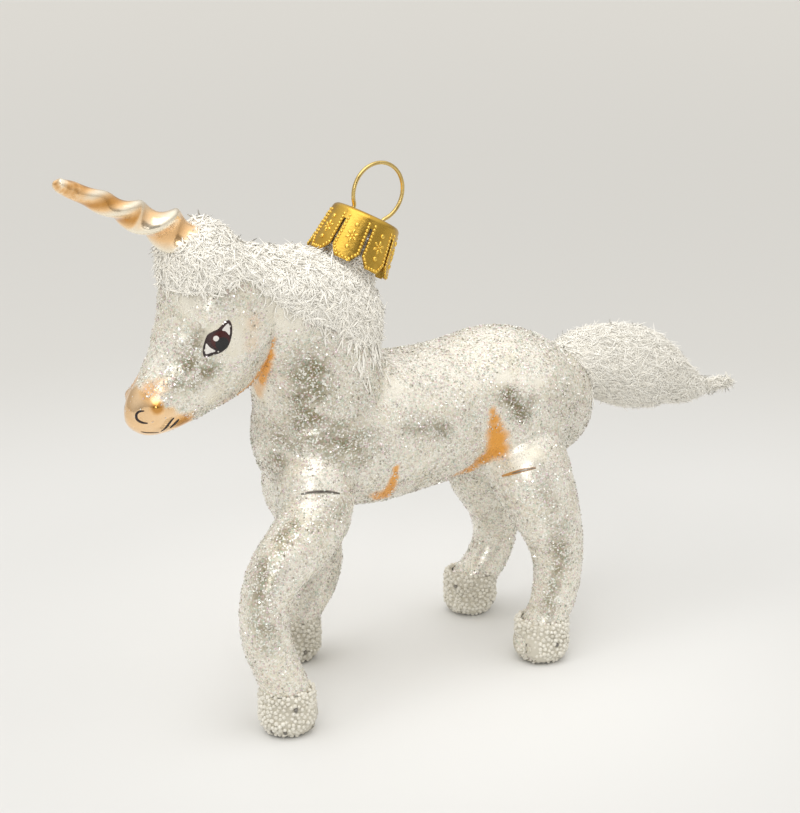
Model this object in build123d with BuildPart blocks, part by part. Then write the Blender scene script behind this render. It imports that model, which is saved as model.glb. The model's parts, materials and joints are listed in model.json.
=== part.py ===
"""Blown-glass unicorn ornament that stands on four feet and hangs from a crown cap.

The glass is built as it is at the lamp: one hollow bubble makes the barrel, neck, head and the open
stem (the pike) at the back of the crest. Four blown legs, a blown tail and a twisted horn are fused
to it. Fibre is glued to the mane and the tail, and small beads cover each hoof. A stamped crown cap
sits over the pike, and a sprung wire hanger passes through it into the pike's bore.

Frame: millimetres, +Z up, the nose towards -X, the floor at Z = 0, and the origin below the middle
of the overall box. "Along" is measured from the front of the chest towards the tail.
"""

import math
import os

from build123d import *

# Barrel of the body
BARREL_LENGTH = 75.0
BARREL_WIDTH = 25.0
BARREL_HEIGHT = 27.0
BELLY_HEIGHT = 34.5
GLASS_WALL = 0.9

# Neck
NECK_HEIGHT = 38.0
NECK_DEPTH = 28.0
NECK_WIDTH = 22.0

# Head
HEAD_LENGTH = 36.7
HEAD_DEPTH = 25.0
HEAD_WIDTH = 18.8
HEAD_HEADING = 234.7

# Pike, the open glass stem that carries the cap
PIKE_RADIUS = 5.2
PIKE_WALL = 1.0
PIKE_LENGTH = 22.0
PIKE_TILT = 30.0

# Horn
HORN_LENGTH = 26.2
HORN_SINK = 8.0
HORN_DIAMETER = 8.2
HORN_RISE = 27.0
HORN_TWIST = 860.0
HORN_WALL = 0.9
HORN_RIBS = 12
HORN_STATIONS = 28

# Legs
STANCE_WIDTH = 26.8
LEG_GIRTH = 8.4
STRIDE = 10.0

# Hoof beading
HOOF_DIAMETER = 10.4
HOOF_SOLE = 7.6
HOOF_HEIGHT = 8.5
HOOF_ROUND = 2.4
HOOF_LIP = 0.7
BEAD_LAYER = 0.8

# Tail
TAIL_LENGTH = 46.3
TAIL_GIRTH = 14.0
TAIL_DROP = 9.9

# Glued fibre on the mane and the tail
FIBRE_DEPTH = 1.1

# Crown cap
CAP_SHEET = 0.3
CAP_HEIGHT = 9.1
CAP_TOP_RADIUS = 6.2
CAP_HEM_RADIUS = 7.6
CAP_SHOULDER = 1.0
CAP_PETALS = 8
PETAL_SLIT = 0.5
PETAL_TOP = 2.3
PETAL_POINT = 1.8
PETAL_TIP_GAP = 3.0
CAP_SEAT_GAP = 0.12
CAP_SWING_GAP = 0.4
CAP_CLEARING = 2.6

# Wire hanger
WIRE_DIAMETER = 0.7
RING_RADIUS = 5.25
HANGER_REACH = 15.0
HANGER_SPAN = 7.0
HANGER_BEND = 0.9
HANGER_STANDOFF = 0.2
WIRE_HOLE_GAP = 0.2

# Cuts run past the faces that they open by this much
OVERRUN = 3.0

# Stations of the barrel: place along it, lift of the centre, width and height
BARREL_SHARES = (
    (0.056, 0.04, 0.44, 0.44),
    (0.13, 0.03, 0.82, 0.82),
    (0.26, 0.0, 0.98, 1.0),
    (0.44, -0.02, 1.0, 0.98),
    (0.60, 0.0, 0.99, 0.95),
    (0.74, 0.0, 1.06, 1.0),
    (0.86, -0.05, 0.96, 0.85),
    (0.945, -0.09, 0.64, 0.62),
)
BARREL_FRONT_SHARES = (0.029, 0.05)
BARREL_REAR_SHARES = (0.985, -0.11)

# Stations of the neck from inside the barrel to inside the crown: place along the barrel, height,
# heading in degrees, width and depth
NECK_SHARES = (
    (0.225, -0.05, 90.0, 1.0, 0.93),
    (0.214, 0.17, 93.0, 1.02, 0.905),
    (0.187, 0.382, 97.0, 0.97, 0.865),
    (0.165, 0.572, 97.5, 0.90, 0.964),
    (0.113, 0.73, 104.6, 0.84, 0.92),
    (0.025, 0.824, 112.0, 0.70, 0.643),
    (-0.043, 0.876, 117.0, 0.55, 0.44),
    (-0.093, 0.960, 118.0, 0.36, 0.21),
)

# Stations of the head from the crown to the nose: place along it, offset to the face, width and depth
CROWN_SHARES = (0.0037, 1.368)
HEAD_SHARES = (
    (0.03, 0.252, 0.415, 0.368),
    (0.093, 0.144, 0.734, 0.72),
    (0.188, 0.028, 0.947, 1.016),
    (0.324, -0.06, 1.0, 0.96),
    (0.488, -0.128, 0.947, 0.872),
    (0.638, -0.11, 0.787, 0.716),
    (0.76, -0.06, 0.638, 0.568),
    (0.869, 0.0, 0.553, 0.428),
    (0.951, 0.04, 0.394, 0.28),
)
HEAD_START_SHARES = (0.0, 0.26)
HEAD_END_SHARES = (1.0, 0.06)

# Where the pike's rim and the horn's root lie: along the barrel and above its centre line
PIKE_RIM_SHARES = (0.341, 1.4185)
HORN_ROOT_SHARES = (-0.16, 1.51)

# Centre lines of the legs from the hip to the sole: step, spread from the hip to the stance, height
FRONT_HIP_SHARE = 0.12
HIND_HIP_SHARE = 0.75
HIP_RISE_SHARE = 0.33
HIP_SPREAD_SHARE = 0.40
FRONT_LEFT_SHARES = (
    (0.30, 0.0, 0.99),
    (-0.45, 0.76, 0.80),
    (-1.26, 1.02, 0.665),
    (-1.44, 1.02, 0.50),
    (-1.22, 0.98, 0.30),
    (-0.98, 1.0, 0.0),
)
FRONT_RIGHT_SHARES = (
    (0.72, 0.0, 0.99),
    (0.80, 0.62, 0.80),
    (1.20, 0.90, 0.61),
    (1.43, 0.95, 0.433),
    (1.18, 0.97, 0.26),
    (0.88, 1.0, 0.0),
)
HIND_LEFT_SHARES = (
    (-0.09, 0.0, 0.968),
    (-0.09, 0.64, 0.79),
    (0.11, 0.95, 0.61),
    (0.27, 1.04, 0.415),
    (0.14, 1.02, 0.22),
    (-0.06, 1.0, 0.0),
)
HIND_RIGHT_SHARES = (
    (-0.09, 0.0, 0.968),
    (0.16, 0.51, 0.76),
    (0.53, 0.77, 0.565),
    (0.82, 0.95, 0.38),
    (0.60, 0.98, 0.20),
    (0.22, 1.0, 0.0),
)

# How far down each leg's centre line the middle of its hoof lies
HOOF_PLACE_SHARE = 0.92

# Girth of each leg at even steps from the hip to the sole
FRONT_GIRTH_SHARES = (1.40, 1.58, 1.36, 1.14, 1.03, 1.01, 0.99, 0.97)
HIND_GIRTH_SHARES = (1.62, 1.84, 1.64, 1.33, 1.10, 0.99, 0.95, 0.95)

# Tail stations: place along its length, drop, heading in degrees, girth and fibre
TAIL_ROOT_SHARES = (0.893, 0.107)
TAIL_SHARES = (
    (0.0, 0.0, 0.0, 0.60, 1.0),
    (0.13, -0.01, -1.0, 0.714, 1.0),
    (0.227, 0.02, -5.0, 0.83, 1.0),
    (0.335, 0.14, -12.0, 0.95, 1.0),
    (0.454, 0.31, -18.0, 0.97, 1.0),
    (0.5616, 0.515, -24.0, 0.80, 1.0),
    (0.676, 0.78, -27.0, 0.486, 1.0),
    (0.7927, 0.985, -16.0, 0.20, 1.0),
)
TAIL_TUFT_SHARES = (
    (0.896, 1.0, -3.0, 0.0, 1.36),
    (0.975, 1.0, 0.0, 0.0, 0.95),
)
TAIL_TIP_SHARES = (0.86, 0.985)
TAIL_END_SHARES = (1.0, 1.0)
TAIL_HOLLOW_STATIONS = 7

# Shape of the horn from its narrow start inside the head: place along its length, girth, flatness and
# share of the twist
HORN_SHARES = (
    (0.0, 0.50, 0.60, 0.0),
    (0.14, 0.66, 0.60, 0.14),
    (0.22, 0.94, 0.60, 0.22),
    (0.27, 0.98, 0.60, 0.27),
    (0.36, 0.88, 0.61, 0.36),
    (0.50, 0.71, 0.64, 0.50),
    (0.62, 0.58, 0.69, 0.62),
    (0.76, 0.47, 0.80, 0.76),
    (0.92, 0.36, 0.97, 0.92),
    (1.0, 0.28, 1.0, 1.0),
)
HORN_TIP_SHARE = 0.985
HORN_HOLLOW_SHARE = 0.52

# Corners of the region that fibre covers on the head and neck: along the barrel, above its centre
MANE_SHARES = (
    (-0.36, 1.20),
    (-0.152, 1.178),
    (-0.087, 1.23),
    (-0.065, 1.278),
    (-0.021, 1.17),
    (0.045, 1.007),
    (0.10, 0.885),
    (0.168, 0.8185),
    (0.252, 0.678),
    (0.31, 0.652),
    (0.62, 0.60),
    (0.62, 2.20),
    (-0.36, 2.20),
)

# Derived places and sizes
BARREL_CENTRE = BELLY_HEIGHT + BARREL_HEIGHT / 2
HIP_HEIGHT = BELLY_HEIGHT + HIP_RISE_SHARE * BARREL_HEIGHT
STANCE_HALF = STANCE_WIDTH / 2
HIP_HALF = HIP_SPREAD_SHARE * STANCE_HALF
FRONT_HIP = FRONT_HIP_SHARE * BARREL_LENGTH
HIND_HIP = HIND_HIP_SHARE * BARREL_LENGTH
CROWN = CROWN_SHARES[0] * BARREL_LENGTH
CROWN_HEIGHT = BARREL_CENTRE + CROWN_SHARES[1] * BARREL_HEIGHT
HEAD_ANGLE = math.radians(HEAD_HEADING)
TAIL_ROOT = TAIL_ROOT_SHARES[0] * BARREL_LENGTH
TAIL_ROOT_HEIGHT = BARREL_CENTRE + TAIL_ROOT_SHARES[1] * BARREL_HEIGHT
PIKE_RIM = PIKE_RIM_SHARES[0] * BARREL_LENGTH
PIKE_RIM_HEIGHT = BARREL_CENTRE + PIKE_RIM_SHARES[1] * BARREL_HEIGHT
HORN_ROOT = HORN_ROOT_SHARES[0] * BARREL_LENGTH
HORN_ROOT_HEIGHT = BARREL_CENTRE + HORN_ROOT_SHARES[1] * BARREL_HEIGHT
HORN_ANGLE = math.radians(HORN_RISE)
PIKE_ANGLE = math.radians(PIKE_TILT)
WIRE_RADIUS = WIRE_DIAMETER / 2
HANGER_HALF = HANGER_SPAN / 2
CAP_TOP = CAP_SEAT_GAP + CAP_SHEET

# Middle of the overall length, between the horn's tip and the end of the tail
HORN_TIP = HORN_ROOT - HORN_LENGTH * math.cos(HORN_ANGLE)
MIDDLE = (HORN_TIP + TAIL_ROOT + TAIL_LENGTH) / 2


def at(along, across, up):
    """Place a point given along the body from the chest, across it and above the floor."""
    return Vector(along - MIDDLE, across, up)


def station(along, up, heading):
    """Make a section plane on the mid-plane whose normal heads at an angle: 0 to the tail, 90 up."""
    angle = math.radians(heading)
    return Plane(at(along, 0, up), x_dir=(0, 1, 0), z_dir=(math.cos(angle), 0, math.sin(angle)))


def oval(plane, half_width, half_depth):
    """Draw one elliptical section."""
    with BuildSketch(plane) as outline:
        Ellipse(half_width, half_depth)
    return outline.sketch.face()


def tip(along, up, heading, reach):
    """Make the closing point of a loft, pushed by a reach along its heading."""
    angle = math.radians(heading)
    return Vertex(at(along + reach * math.cos(angle), 0, up + reach * math.sin(angle)))


def barrel_sections(growth):
    """List the barrel's sections from the chest to the rump."""
    front, front_lift = BARREL_FRONT_SHARES
    rear, rear_lift = BARREL_REAR_SHARES
    sections = [tip(front * BARREL_LENGTH, BARREL_CENTRE + front_lift * BARREL_HEIGHT, 180, growth)]
    for place, lift, width, height in BARREL_SHARES:
        plane = station(place * BARREL_LENGTH, BARREL_CENTRE + lift * BARREL_HEIGHT, 0)
        half_width = width * BARREL_WIDTH / 2 + growth
        sections.append(oval(plane, half_width, height * BARREL_HEIGHT / 2 + growth))
    sections.append(tip(rear * BARREL_LENGTH, BARREL_CENTRE + rear_lift * BARREL_HEIGHT, 0, growth))
    return sections


def neck_sections(growth):
    """List the neck's sections from inside the barrel to inside the crown."""
    sections = []
    for place, rise, heading, width, depth in NECK_SHARES:
        plane = station(place * BARREL_LENGTH, BARREL_CENTRE + rise * NECK_HEIGHT, heading)
        half_width = width * NECK_WIDTH / 2 + growth
        sections.append(oval(plane, half_width, depth * NECK_DEPTH / 2 + growth))
    return sections


def head_place(place, offset):
    """Turn shares of the head's length and of its depth towards the face into a place along and up."""
    reach = place * HEAD_LENGTH
    lift = offset * HEAD_DEPTH
    along = CROWN + reach * math.cos(HEAD_ANGLE) + lift * math.sin(HEAD_ANGLE)
    return along, CROWN_HEIGHT + reach * math.sin(HEAD_ANGLE) - lift * math.cos(HEAD_ANGLE)


def head_sections(growth):
    """List the head's sections from the crown to the nose."""
    sections = [tip(*head_place(*HEAD_START_SHARES), HEAD_HEADING, -growth)]
    for place, offset, width, depth in HEAD_SHARES:
        plane = station(*head_place(place, offset), HEAD_HEADING)
        half_width = width * HEAD_WIDTH / 2 + growth
        sections.append(oval(plane, half_width, depth * HEAD_DEPTH / 2 + growth))
    sections.append(tip(*head_place(*HEAD_END_SHARES), HEAD_HEADING, growth))
    return sections


# The pike's own frame: origin at the centre of its rim, Z out of the bore, X towards the tail
PIKE_PLANE = Plane(
    at(PIKE_RIM, 0, PIKE_RIM_HEIGHT),
    x_dir=(math.cos(PIKE_ANGLE), 0, -math.sin(PIKE_ANGLE)),
    z_dir=(math.sin(PIKE_ANGLE), 0, math.cos(PIKE_ANGLE)),
)


def bubble(growth, pike_radius, mouth):
    """Make the bubble's form, grown or shrunk evenly, with the pike run out past its rim by a mouth."""
    with BuildPart() as form:
        loft(sections=barrel_sections(growth))
        loft(sections=neck_sections(growth))
        loft(sections=head_sections(growth))
        with BuildSketch(PIKE_PLANE.offset(-PIKE_LENGTH)):
            Circle(pike_radius)
        extrude(amount=PIKE_LENGTH + mouth)
    return form.part


bubble_form = bubble(0, PIKE_RADIUS, 0)

# Hollow bubble, open at the pike's rim
with BuildPart() as body_shell:
    add(bubble_form)
    add(bubble(-GLASS_WALL, PIKE_RADIUS - PIKE_WALL, OVERRUN), mode=Mode.SUBTRACT)


def leg_line(shares, hip, side, floor):
    """Draw a leg's centre line from inside the body down to a floor level."""
    points = []
    for step, spread, height in shares:
        across = side * (HIP_HALF + spread * (STANCE_HALF - HIP_HALF))
        points.append(at(hip + step * STRIDE, across, floor + height * (HIP_HEIGHT - floor)))
    return Edge.make_spline(points, tangents=[points[1] - points[0], Vector(0, 0, -1)])


def leg_sections(shares, girths, hip, side, inset):
    """List a leg's sections at even steps from inside the body to the sole, inset by a wall."""
    centre_line = leg_line(shares, hip, side, BEAD_LAYER + inset)
    sections = []
    for index, girth in enumerate(girths):
        reach = index / (len(girths) - 1)
        radius = girth * LEG_GIRTH / 2 - inset
        plane = Plane(centre_line @ reach, x_dir=(0, 1, 0), z_dir=centre_line % reach)
        sections.append(oval(plane, radius, radius))
    return sections


def leg_form(shares, girths, hip, side, inset):
    """Make the solid form of a leg."""
    with BuildPart() as form:
        loft(sections=leg_sections(shares, girths, hip, side, inset))
    return form.part


def hoof_form(shares, hip, side):
    """Make the outside of the bead layer on a hoof, with a flat sole on the floor."""
    middle = leg_line(shares, hip, side, 0) @ HOOF_PLACE_SHARE
    centre = Vector(middle.X, middle.Y, 0)
    with BuildPart() as form:
        with BuildSketch(Plane(centre, x_dir=(1, 0, 0), z_dir=(0, -1, 0))) as profile:
            with BuildLine():
                Polyline(
                    (0, 0),
                    (HOOF_SOLE / 2, 0),
                    (HOOF_DIAMETER / 2, HOOF_ROUND),
                    (HOOF_DIAMETER / 2, HOOF_HEIGHT),
                    (0, HOOF_HEIGHT),
                    close=True,
                )
            make_face()
            rim = profile.vertices().filter_by(lambda corner: corner.X > 0)
            fillet(rim, HOOF_LIP)
        revolve(axis=Axis(centre, (0, 0, 1)))
    return form.part


LEG_TABLE = (
    ("front_left", FRONT_LEFT_SHARES, FRONT_GIRTH_SHARES, FRONT_HIP, -1),
    ("front_right", FRONT_RIGHT_SHARES, FRONT_GIRTH_SHARES, FRONT_HIP, 1),
    ("hind_left", HIND_LEFT_SHARES, HIND_GIRTH_SHARES, HIND_HIP, -1),
    ("hind_right", HIND_RIGHT_SHARES, HIND_GIRTH_SHARES, HIND_HIP, 1),
)

# Hollow legs fused to the bubble's outside, and the bead layer round each hoof
legs = {}
hooves = {}
for leg_name, shares, girths, hip, side in LEG_TABLE:
    outside = leg_form(shares, girths, hip, side, 0)
    with BuildPart() as leg:
        add(outside)
        add(bubble_form, mode=Mode.SUBTRACT)
        add(leg_form(shares, girths, hip, side, GLASS_WALL), mode=Mode.SUBTRACT)
    legs[leg_name] = leg
    with BuildPart() as hoof:
        add(hoof_form(shares, hip, side))
        add(outside, mode=Mode.SUBTRACT)
    hooves[leg_name] = hoof


def tail_place(place, drop):
    """Turn shares of the tail's length and drop into a place along and up."""
    return TAIL_ROOT + place * TAIL_LENGTH, TAIL_ROOT_HEIGHT - drop * TAIL_DROP


def tail_sections(stations, growth, end):
    """List the tail's sections, grown by a depth that follows each station's fibre, up to an end."""
    sections = []
    for place, drop, heading, girth, fibre in stations:
        plane = station(*tail_place(place, drop), heading)
        radius = girth * TAIL_GIRTH / 2 + growth * fibre
        sections.append(oval(plane, radius, radius))
    sections.append(tip(*tail_place(*end), 0, 0))
    return sections


def tail_form(stations, growth, end):
    """Make the solid form of the tail."""
    with BuildPart() as form:
        loft(sections=tail_sections(stations, growth, end))
    return form.part


tail_outside = tail_form(TAIL_SHARES, 0, TAIL_TIP_SHARES)

TAIL_HOLLOW = TAIL_SHARES[:TAIL_HOLLOW_STATIONS]

# Hollow glass tail
with BuildPart() as tail_core:
    add(tail_outside)
    add(bubble_form, mode=Mode.SUBTRACT)
    add(tail_form(TAIL_HOLLOW, -GLASS_WALL, TAIL_SHARES[TAIL_HOLLOW_STATIONS][:2]), mode=Mode.SUBTRACT)

# Fibre glued round the tail, with a tuft past the glass tip
with BuildPart() as tail_fibre:
    add(tail_form(TAIL_SHARES + TAIL_TUFT_SHARES, FIBRE_DEPTH, TAIL_END_SHARES))
    add(tail_outside, mode=Mode.SUBTRACT)
    add(bubble_form, mode=Mode.SUBTRACT)


def horn_point(place):
    """Place a point on the horn's axis, measured from its sunken start as a share of its length."""
    reach = place * (HORN_LENGTH + HORN_SINK) - HORN_SINK
    return at(HORN_ROOT - reach * math.cos(HORN_ANGLE), 0, HORN_ROOT_HEIGHT + reach * math.sin(HORN_ANGLE))


def horn_shape(place):
    """Read the horn's girth, flatness and share of the twist at a place along it."""
    for before, after in zip(HORN_SHARES, HORN_SHARES[1:]):
        if place <= after[0]:
            blend = (place - before[0]) / (after[0] - before[0])
            return [low + blend * (high - low) for low, high in zip(before[1:], after[1:])]
    return HORN_SHARES[-1][1:]


def horn_section(place, inset):
    """Draw one flattened horn section, turned by its share of the twist."""
    girth, flatness, turn = horn_shape(place)
    long_half = girth * HORN_DIAMETER / 2
    short_half = long_half * flatness
    points = []
    for rib in range(HORN_RIBS):
        around = math.radians(rib * 360 / HORN_RIBS)
        lag = around + math.radians(turn * HORN_TWIST)
        reach = long_half * short_half / math.hypot(short_half * math.cos(lag), long_half * math.sin(lag))
        points.append(((reach - inset) * math.cos(around), (reach - inset) * math.sin(around)))
    forward = (-math.cos(HORN_ANGLE), 0, math.sin(HORN_ANGLE))
    with BuildSketch(Plane(horn_point(place), x_dir=(0, 1, 0), z_dir=forward)) as outline:
        with BuildLine():
            Spline(*points, periodic=True)
        make_face()
    return outline.sketch.face()


def horn_form(length_share, inset):
    """Make the twisted form of the horn over a share of its length."""
    last = HORN_TIP_SHARE * length_share
    places = [last * index / HORN_STATIONS for index in range(HORN_STATIONS + 1)]
    sections = [horn_section(place, inset) for place in places]
    sections.append(Vertex(horn_point(length_share)))
    with BuildPart() as form:
        loft(sections=sections)
    return form.part


horn_outside = horn_form(1, 0)

# Twisted horn, hollow at its thick end
with BuildPart() as horn:
    add(horn_outside)
    add(bubble_form, mode=Mode.SUBTRACT)
    add(horn_form(HORN_HOLLOW_SHARE, HORN_WALL), mode=Mode.SUBTRACT)

# Fibre glued over the crest, the poll and the forelock, clear of the cap's hem
with BuildPart() as mane_fibre:
    with BuildSketch(Plane.XZ.offset(-BARREL_WIDTH)):
        with BuildLine():
            Polyline(
                *[
                    (place * BARREL_LENGTH - MIDDLE, BARREL_CENTRE + rise * BARREL_HEIGHT)
                    for place, rise in MANE_SHARES
                ],
                close=True,
            )
        make_face()
    extrude(amount=2 * BARREL_WIDTH)
    add(bubble(FIBRE_DEPTH, PIKE_RADIUS + FIBRE_DEPTH, 0), mode=Mode.INTERSECT)
    add(bubble_form, mode=Mode.SUBTRACT)
    add(horn_outside, mode=Mode.SUBTRACT)
    with BuildSketch(PIKE_PLANE.offset(CAP_TOP - CAP_HEIGHT - CAP_SWING_GAP)):
        Circle(CAP_HEM_RADIUS + CAP_CLEARING)
    extrude(amount=CAP_HEIGHT + OVERRUN, mode=Mode.SUBTRACT)

# Stamped cap over the pike: a flared cup with a rounded shoulder, slit into pointed petals
with BuildPart() as crown_cap:
    with Locations(PIKE_PLANE.offset(CAP_TOP - CAP_HEIGHT / 2).location):
        Cone(CAP_HEM_RADIUS, CAP_TOP_RADIUS, CAP_HEIGHT)
    fillet(crown_cap.edges().sort_by(Axis(PIKE_PLANE.origin, PIKE_PLANE.z_dir))[-1], CAP_SHOULDER)
    hem = crown_cap.faces().sort_by(Axis(PIKE_PLANE.origin, PIKE_PLANE.z_dir))[0]
    offset(amount=-CAP_SHEET, openings=hem)
    with BuildSketch(PIKE_PLANE):
        with Locations((-HANGER_HALF, 0), (HANGER_HALF, 0)):
            Circle(WIRE_RADIUS + WIRE_HOLE_GAP)
    extrude(amount=CAP_TOP + OVERRUN, mode=Mode.SUBTRACT)
    for index in range(CAP_PETALS):
        turn = math.radians((index + 1 / 2) * 360 / CAP_PETALS)
        outward = PIKE_PLANE.x_dir * math.cos(turn) + PIKE_PLANE.y_dir * math.sin(turn)
        sideways = PIKE_PLANE.y_dir * math.cos(turn) - PIKE_PLANE.x_dir * math.sin(turn)
        hem_level = CAP_TOP - CAP_HEIGHT
        with BuildSketch(Plane(PIKE_PLANE.origin, x_dir=sideways, z_dir=outward)):
            with BuildLine():
                Polyline(
                    (-PETAL_TIP_GAP / 2, hem_level - OVERRUN),
                    (-PETAL_TIP_GAP / 2, hem_level),
                    (-PETAL_SLIT / 2, hem_level + PETAL_POINT),
                    (-PETAL_SLIT / 2, CAP_TOP - PETAL_TOP),
                    (PETAL_SLIT / 2, CAP_TOP - PETAL_TOP),
                    (PETAL_SLIT / 2, hem_level + PETAL_POINT),
                    (PETAL_TIP_GAP / 2, hem_level),
                    (PETAL_TIP_GAP / 2, hem_level - OVERRUN),
                    close=True,
                )
            make_face()
        extrude(amount=CAP_HEM_RADIUS + OVERRUN, mode=Mode.SUBTRACT)

# Wire hanger: two straight legs, an outward bend above the cap and an open ring
BEND_LEVEL = CAP_TOP + HANGER_STANDOFF
BEND_CENTRE = HANGER_HALF + HANGER_BEND
RING_REACH = RING_RADIUS + HANGER_BEND
RING_LEVEL = BEND_LEVEL + math.sqrt(RING_REACH**2 - BEND_CENTRE**2)
BEND_TURN = math.acos(BEND_CENTRE / RING_REACH)
JOIN_HALF = RING_RADIUS * math.cos(BEND_TURN)
JOIN_LEVEL = RING_LEVEL - RING_RADIUS * math.sin(BEND_TURN)
BEND_HALF = BEND_CENTRE - HANGER_BEND * math.cos(BEND_TURN / 2)
BEND_MIDDLE_LEVEL = BEND_LEVEL + HANGER_BEND * math.sin(BEND_TURN / 2)
HANGER_PLANE = Plane(PIKE_PLANE.origin, x_dir=PIKE_PLANE.x_dir, z_dir=-PIKE_PLANE.y_dir)

with BuildPart() as hanger_clip:
    with BuildLine(HANGER_PLANE) as wire:
        Line((-HANGER_HALF, -HANGER_REACH), (-HANGER_HALF, BEND_LEVEL))
        ThreePointArc(
            (-HANGER_HALF, BEND_LEVEL), (-BEND_HALF, BEND_MIDDLE_LEVEL), (-JOIN_HALF, JOIN_LEVEL)
        )
        ThreePointArc((-JOIN_HALF, JOIN_LEVEL), (0, RING_LEVEL + RING_RADIUS), (JOIN_HALF, JOIN_LEVEL))
        ThreePointArc((JOIN_HALF, JOIN_LEVEL), (BEND_HALF, BEND_MIDDLE_LEVEL), (HANGER_HALF, BEND_LEVEL))
        Line((HANGER_HALF, BEND_LEVEL), (HANGER_HALF, -HANGER_REACH))
    with BuildSketch(Plane(wire.wire() @ 0, z_dir=wire.wire() % 0)):
        Circle(WIRE_RADIUS)
    sweep()

os.makedirs("parts", exist_ok=True)

body_shell.part.label = "body_shell"
export_step(body_shell.part, "parts/body_shell.step")
horn.part.label = "horn"
export_step(horn.part, "parts/horn.step")
for leg_name in legs:
    legs[leg_name].part.label = leg_name + "_leg"
    export_step(legs[leg_name].part, "parts/" + leg_name + "_leg.step")
    hooves[leg_name].part.label = leg_name + "_hoof_beads"
    export_step(hooves[leg_name].part, "parts/" + leg_name + "_hoof_beads.step")
tail_core.part.label = "tail_core"
export_step(tail_core.part, "parts/tail_core.step")
mane_fibre.part.label = "mane_fibre"
export_step(mane_fibre.part, "parts/mane_fibre.step")
tail_fibre.part.label = "tail_fibre"
export_step(tail_fibre.part, "parts/tail_fibre.step")
crown_cap.part.label = "crown_cap"
export_step(crown_cap.part, "parts/crown_cap.step")
hanger_clip.part.label = "hanger_clip"
export_step(hanger_clip.part, "parts/hanger_clip.step")
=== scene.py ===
"""Dressed look of a blown-glass unicorn ornament.

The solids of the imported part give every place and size. This script turns them into the finished
object: one smooth skin of pearl glass split into its blown pieces, glitter, glued fibre, beaded
hooves, a lustred horn, a painted face, an embossed crown cap and its wire ring. Lengths in the
tables are in millimetres in the part's own frame, and the nose points along -X.
"""

import json
import logging
import math
from dataclasses import dataclass, field
from enum import Enum

import bmesh
import bpy
import numpy as np
from mathutils import Matrix, Vector
from mathutils.bvhtree import BVHTree
from mathutils.kdtree import KDTree

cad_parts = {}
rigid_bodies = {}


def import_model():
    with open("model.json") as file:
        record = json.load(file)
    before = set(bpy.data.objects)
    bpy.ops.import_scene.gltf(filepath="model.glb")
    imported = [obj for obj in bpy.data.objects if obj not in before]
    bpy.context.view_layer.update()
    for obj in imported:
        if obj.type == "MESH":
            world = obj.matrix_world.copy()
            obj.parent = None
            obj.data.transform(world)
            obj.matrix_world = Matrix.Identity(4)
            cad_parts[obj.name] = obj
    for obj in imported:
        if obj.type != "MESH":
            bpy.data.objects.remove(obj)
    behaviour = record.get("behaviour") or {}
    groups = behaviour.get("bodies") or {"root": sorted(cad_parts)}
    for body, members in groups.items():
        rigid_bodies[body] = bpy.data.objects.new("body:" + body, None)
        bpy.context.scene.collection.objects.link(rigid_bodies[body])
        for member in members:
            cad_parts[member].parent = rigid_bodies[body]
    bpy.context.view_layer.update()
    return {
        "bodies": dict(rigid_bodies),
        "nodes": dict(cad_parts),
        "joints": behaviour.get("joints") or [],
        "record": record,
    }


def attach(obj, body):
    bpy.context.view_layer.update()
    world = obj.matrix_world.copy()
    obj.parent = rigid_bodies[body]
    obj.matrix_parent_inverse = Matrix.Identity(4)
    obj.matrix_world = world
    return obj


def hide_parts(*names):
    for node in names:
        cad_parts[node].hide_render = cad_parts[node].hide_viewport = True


LOG = logging.getLogger("unicorn_ornament")
MM = 0.001
FIGURE = "figurine"
TINY = 1e-9
LUMP_WAVES = 14
LUMP_LEVEL = 4.0
SMOOTH_AND_PUFF = (0.5, -0.52)
WELD = 1e-7
Array = np.ndarray
Material = bpy.types.Material
Mesh = bpy.types.Mesh
Node = bpy.types.Node
NodeTree = bpy.types.NodeTree
Object = bpy.types.Object
Socket = bpy.types.NodeSocket
Solids = dict[str, Object]
Pair = tuple[float, float]
Outline = tuple[Pair, ...]
Point = tuple[float, float, float]


class Paint(Enum):
    """Airbrushed effects and painted shade that the glass carries as values on its skin."""

    WARM = "warm"
    BARE = "bare"
    # SHADE is painted shade: dark olive grey where sides and hollows lie in shade, and painted dark
    # reflections of the silvering.
    SHADE = "shade"
    LUSTRE = "lustre"


class Side(Enum):
    """Which side of the figure a mark lies on."""

    LEFT = -1
    RIGHT = 1

    def mirror(self, points: object) -> Array:
        """Lay points of the left side on this side.

        Args:
            points: One point, or rows of them.

        Returns:
            The points on this side.
        """
        laid = np.array(points, float)
        laid[..., 1] = self.value * np.abs(laid[..., 1])
        return laid


@dataclass(frozen=True)
class Spot:
    """A soft mark on the skin: its paint, centre, reach, strength and, for a streak, its end."""

    paint: Paint
    centre: Point
    reach: float
    strength: float
    end: Point | None = None

    def gap(self, points: Array, side: Side) -> Array:
        """Measure how many reaches each point lies from the mark.

        Args:
            points: The skin's points.
            side: The side that the mark is laid on.

        Returns:
            One distance for each point, as a share of the reach.
        """
        first, last = side.mirror((self.centre, self.end or self.centre)) * MM
        run = last - first
        share = np.clip((points - first) @ run / max(run @ run, TINY * MM), 0, 1)
        return np.linalg.norm(points - first - share[:, None] * run, axis=1) / (self.reach * MM)


@dataclass(frozen=True)
class Swell:
    """A soft bump or hollow of the skin: its centre, its reach and its height."""

    centre: Point
    reach: float
    height: float


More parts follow.
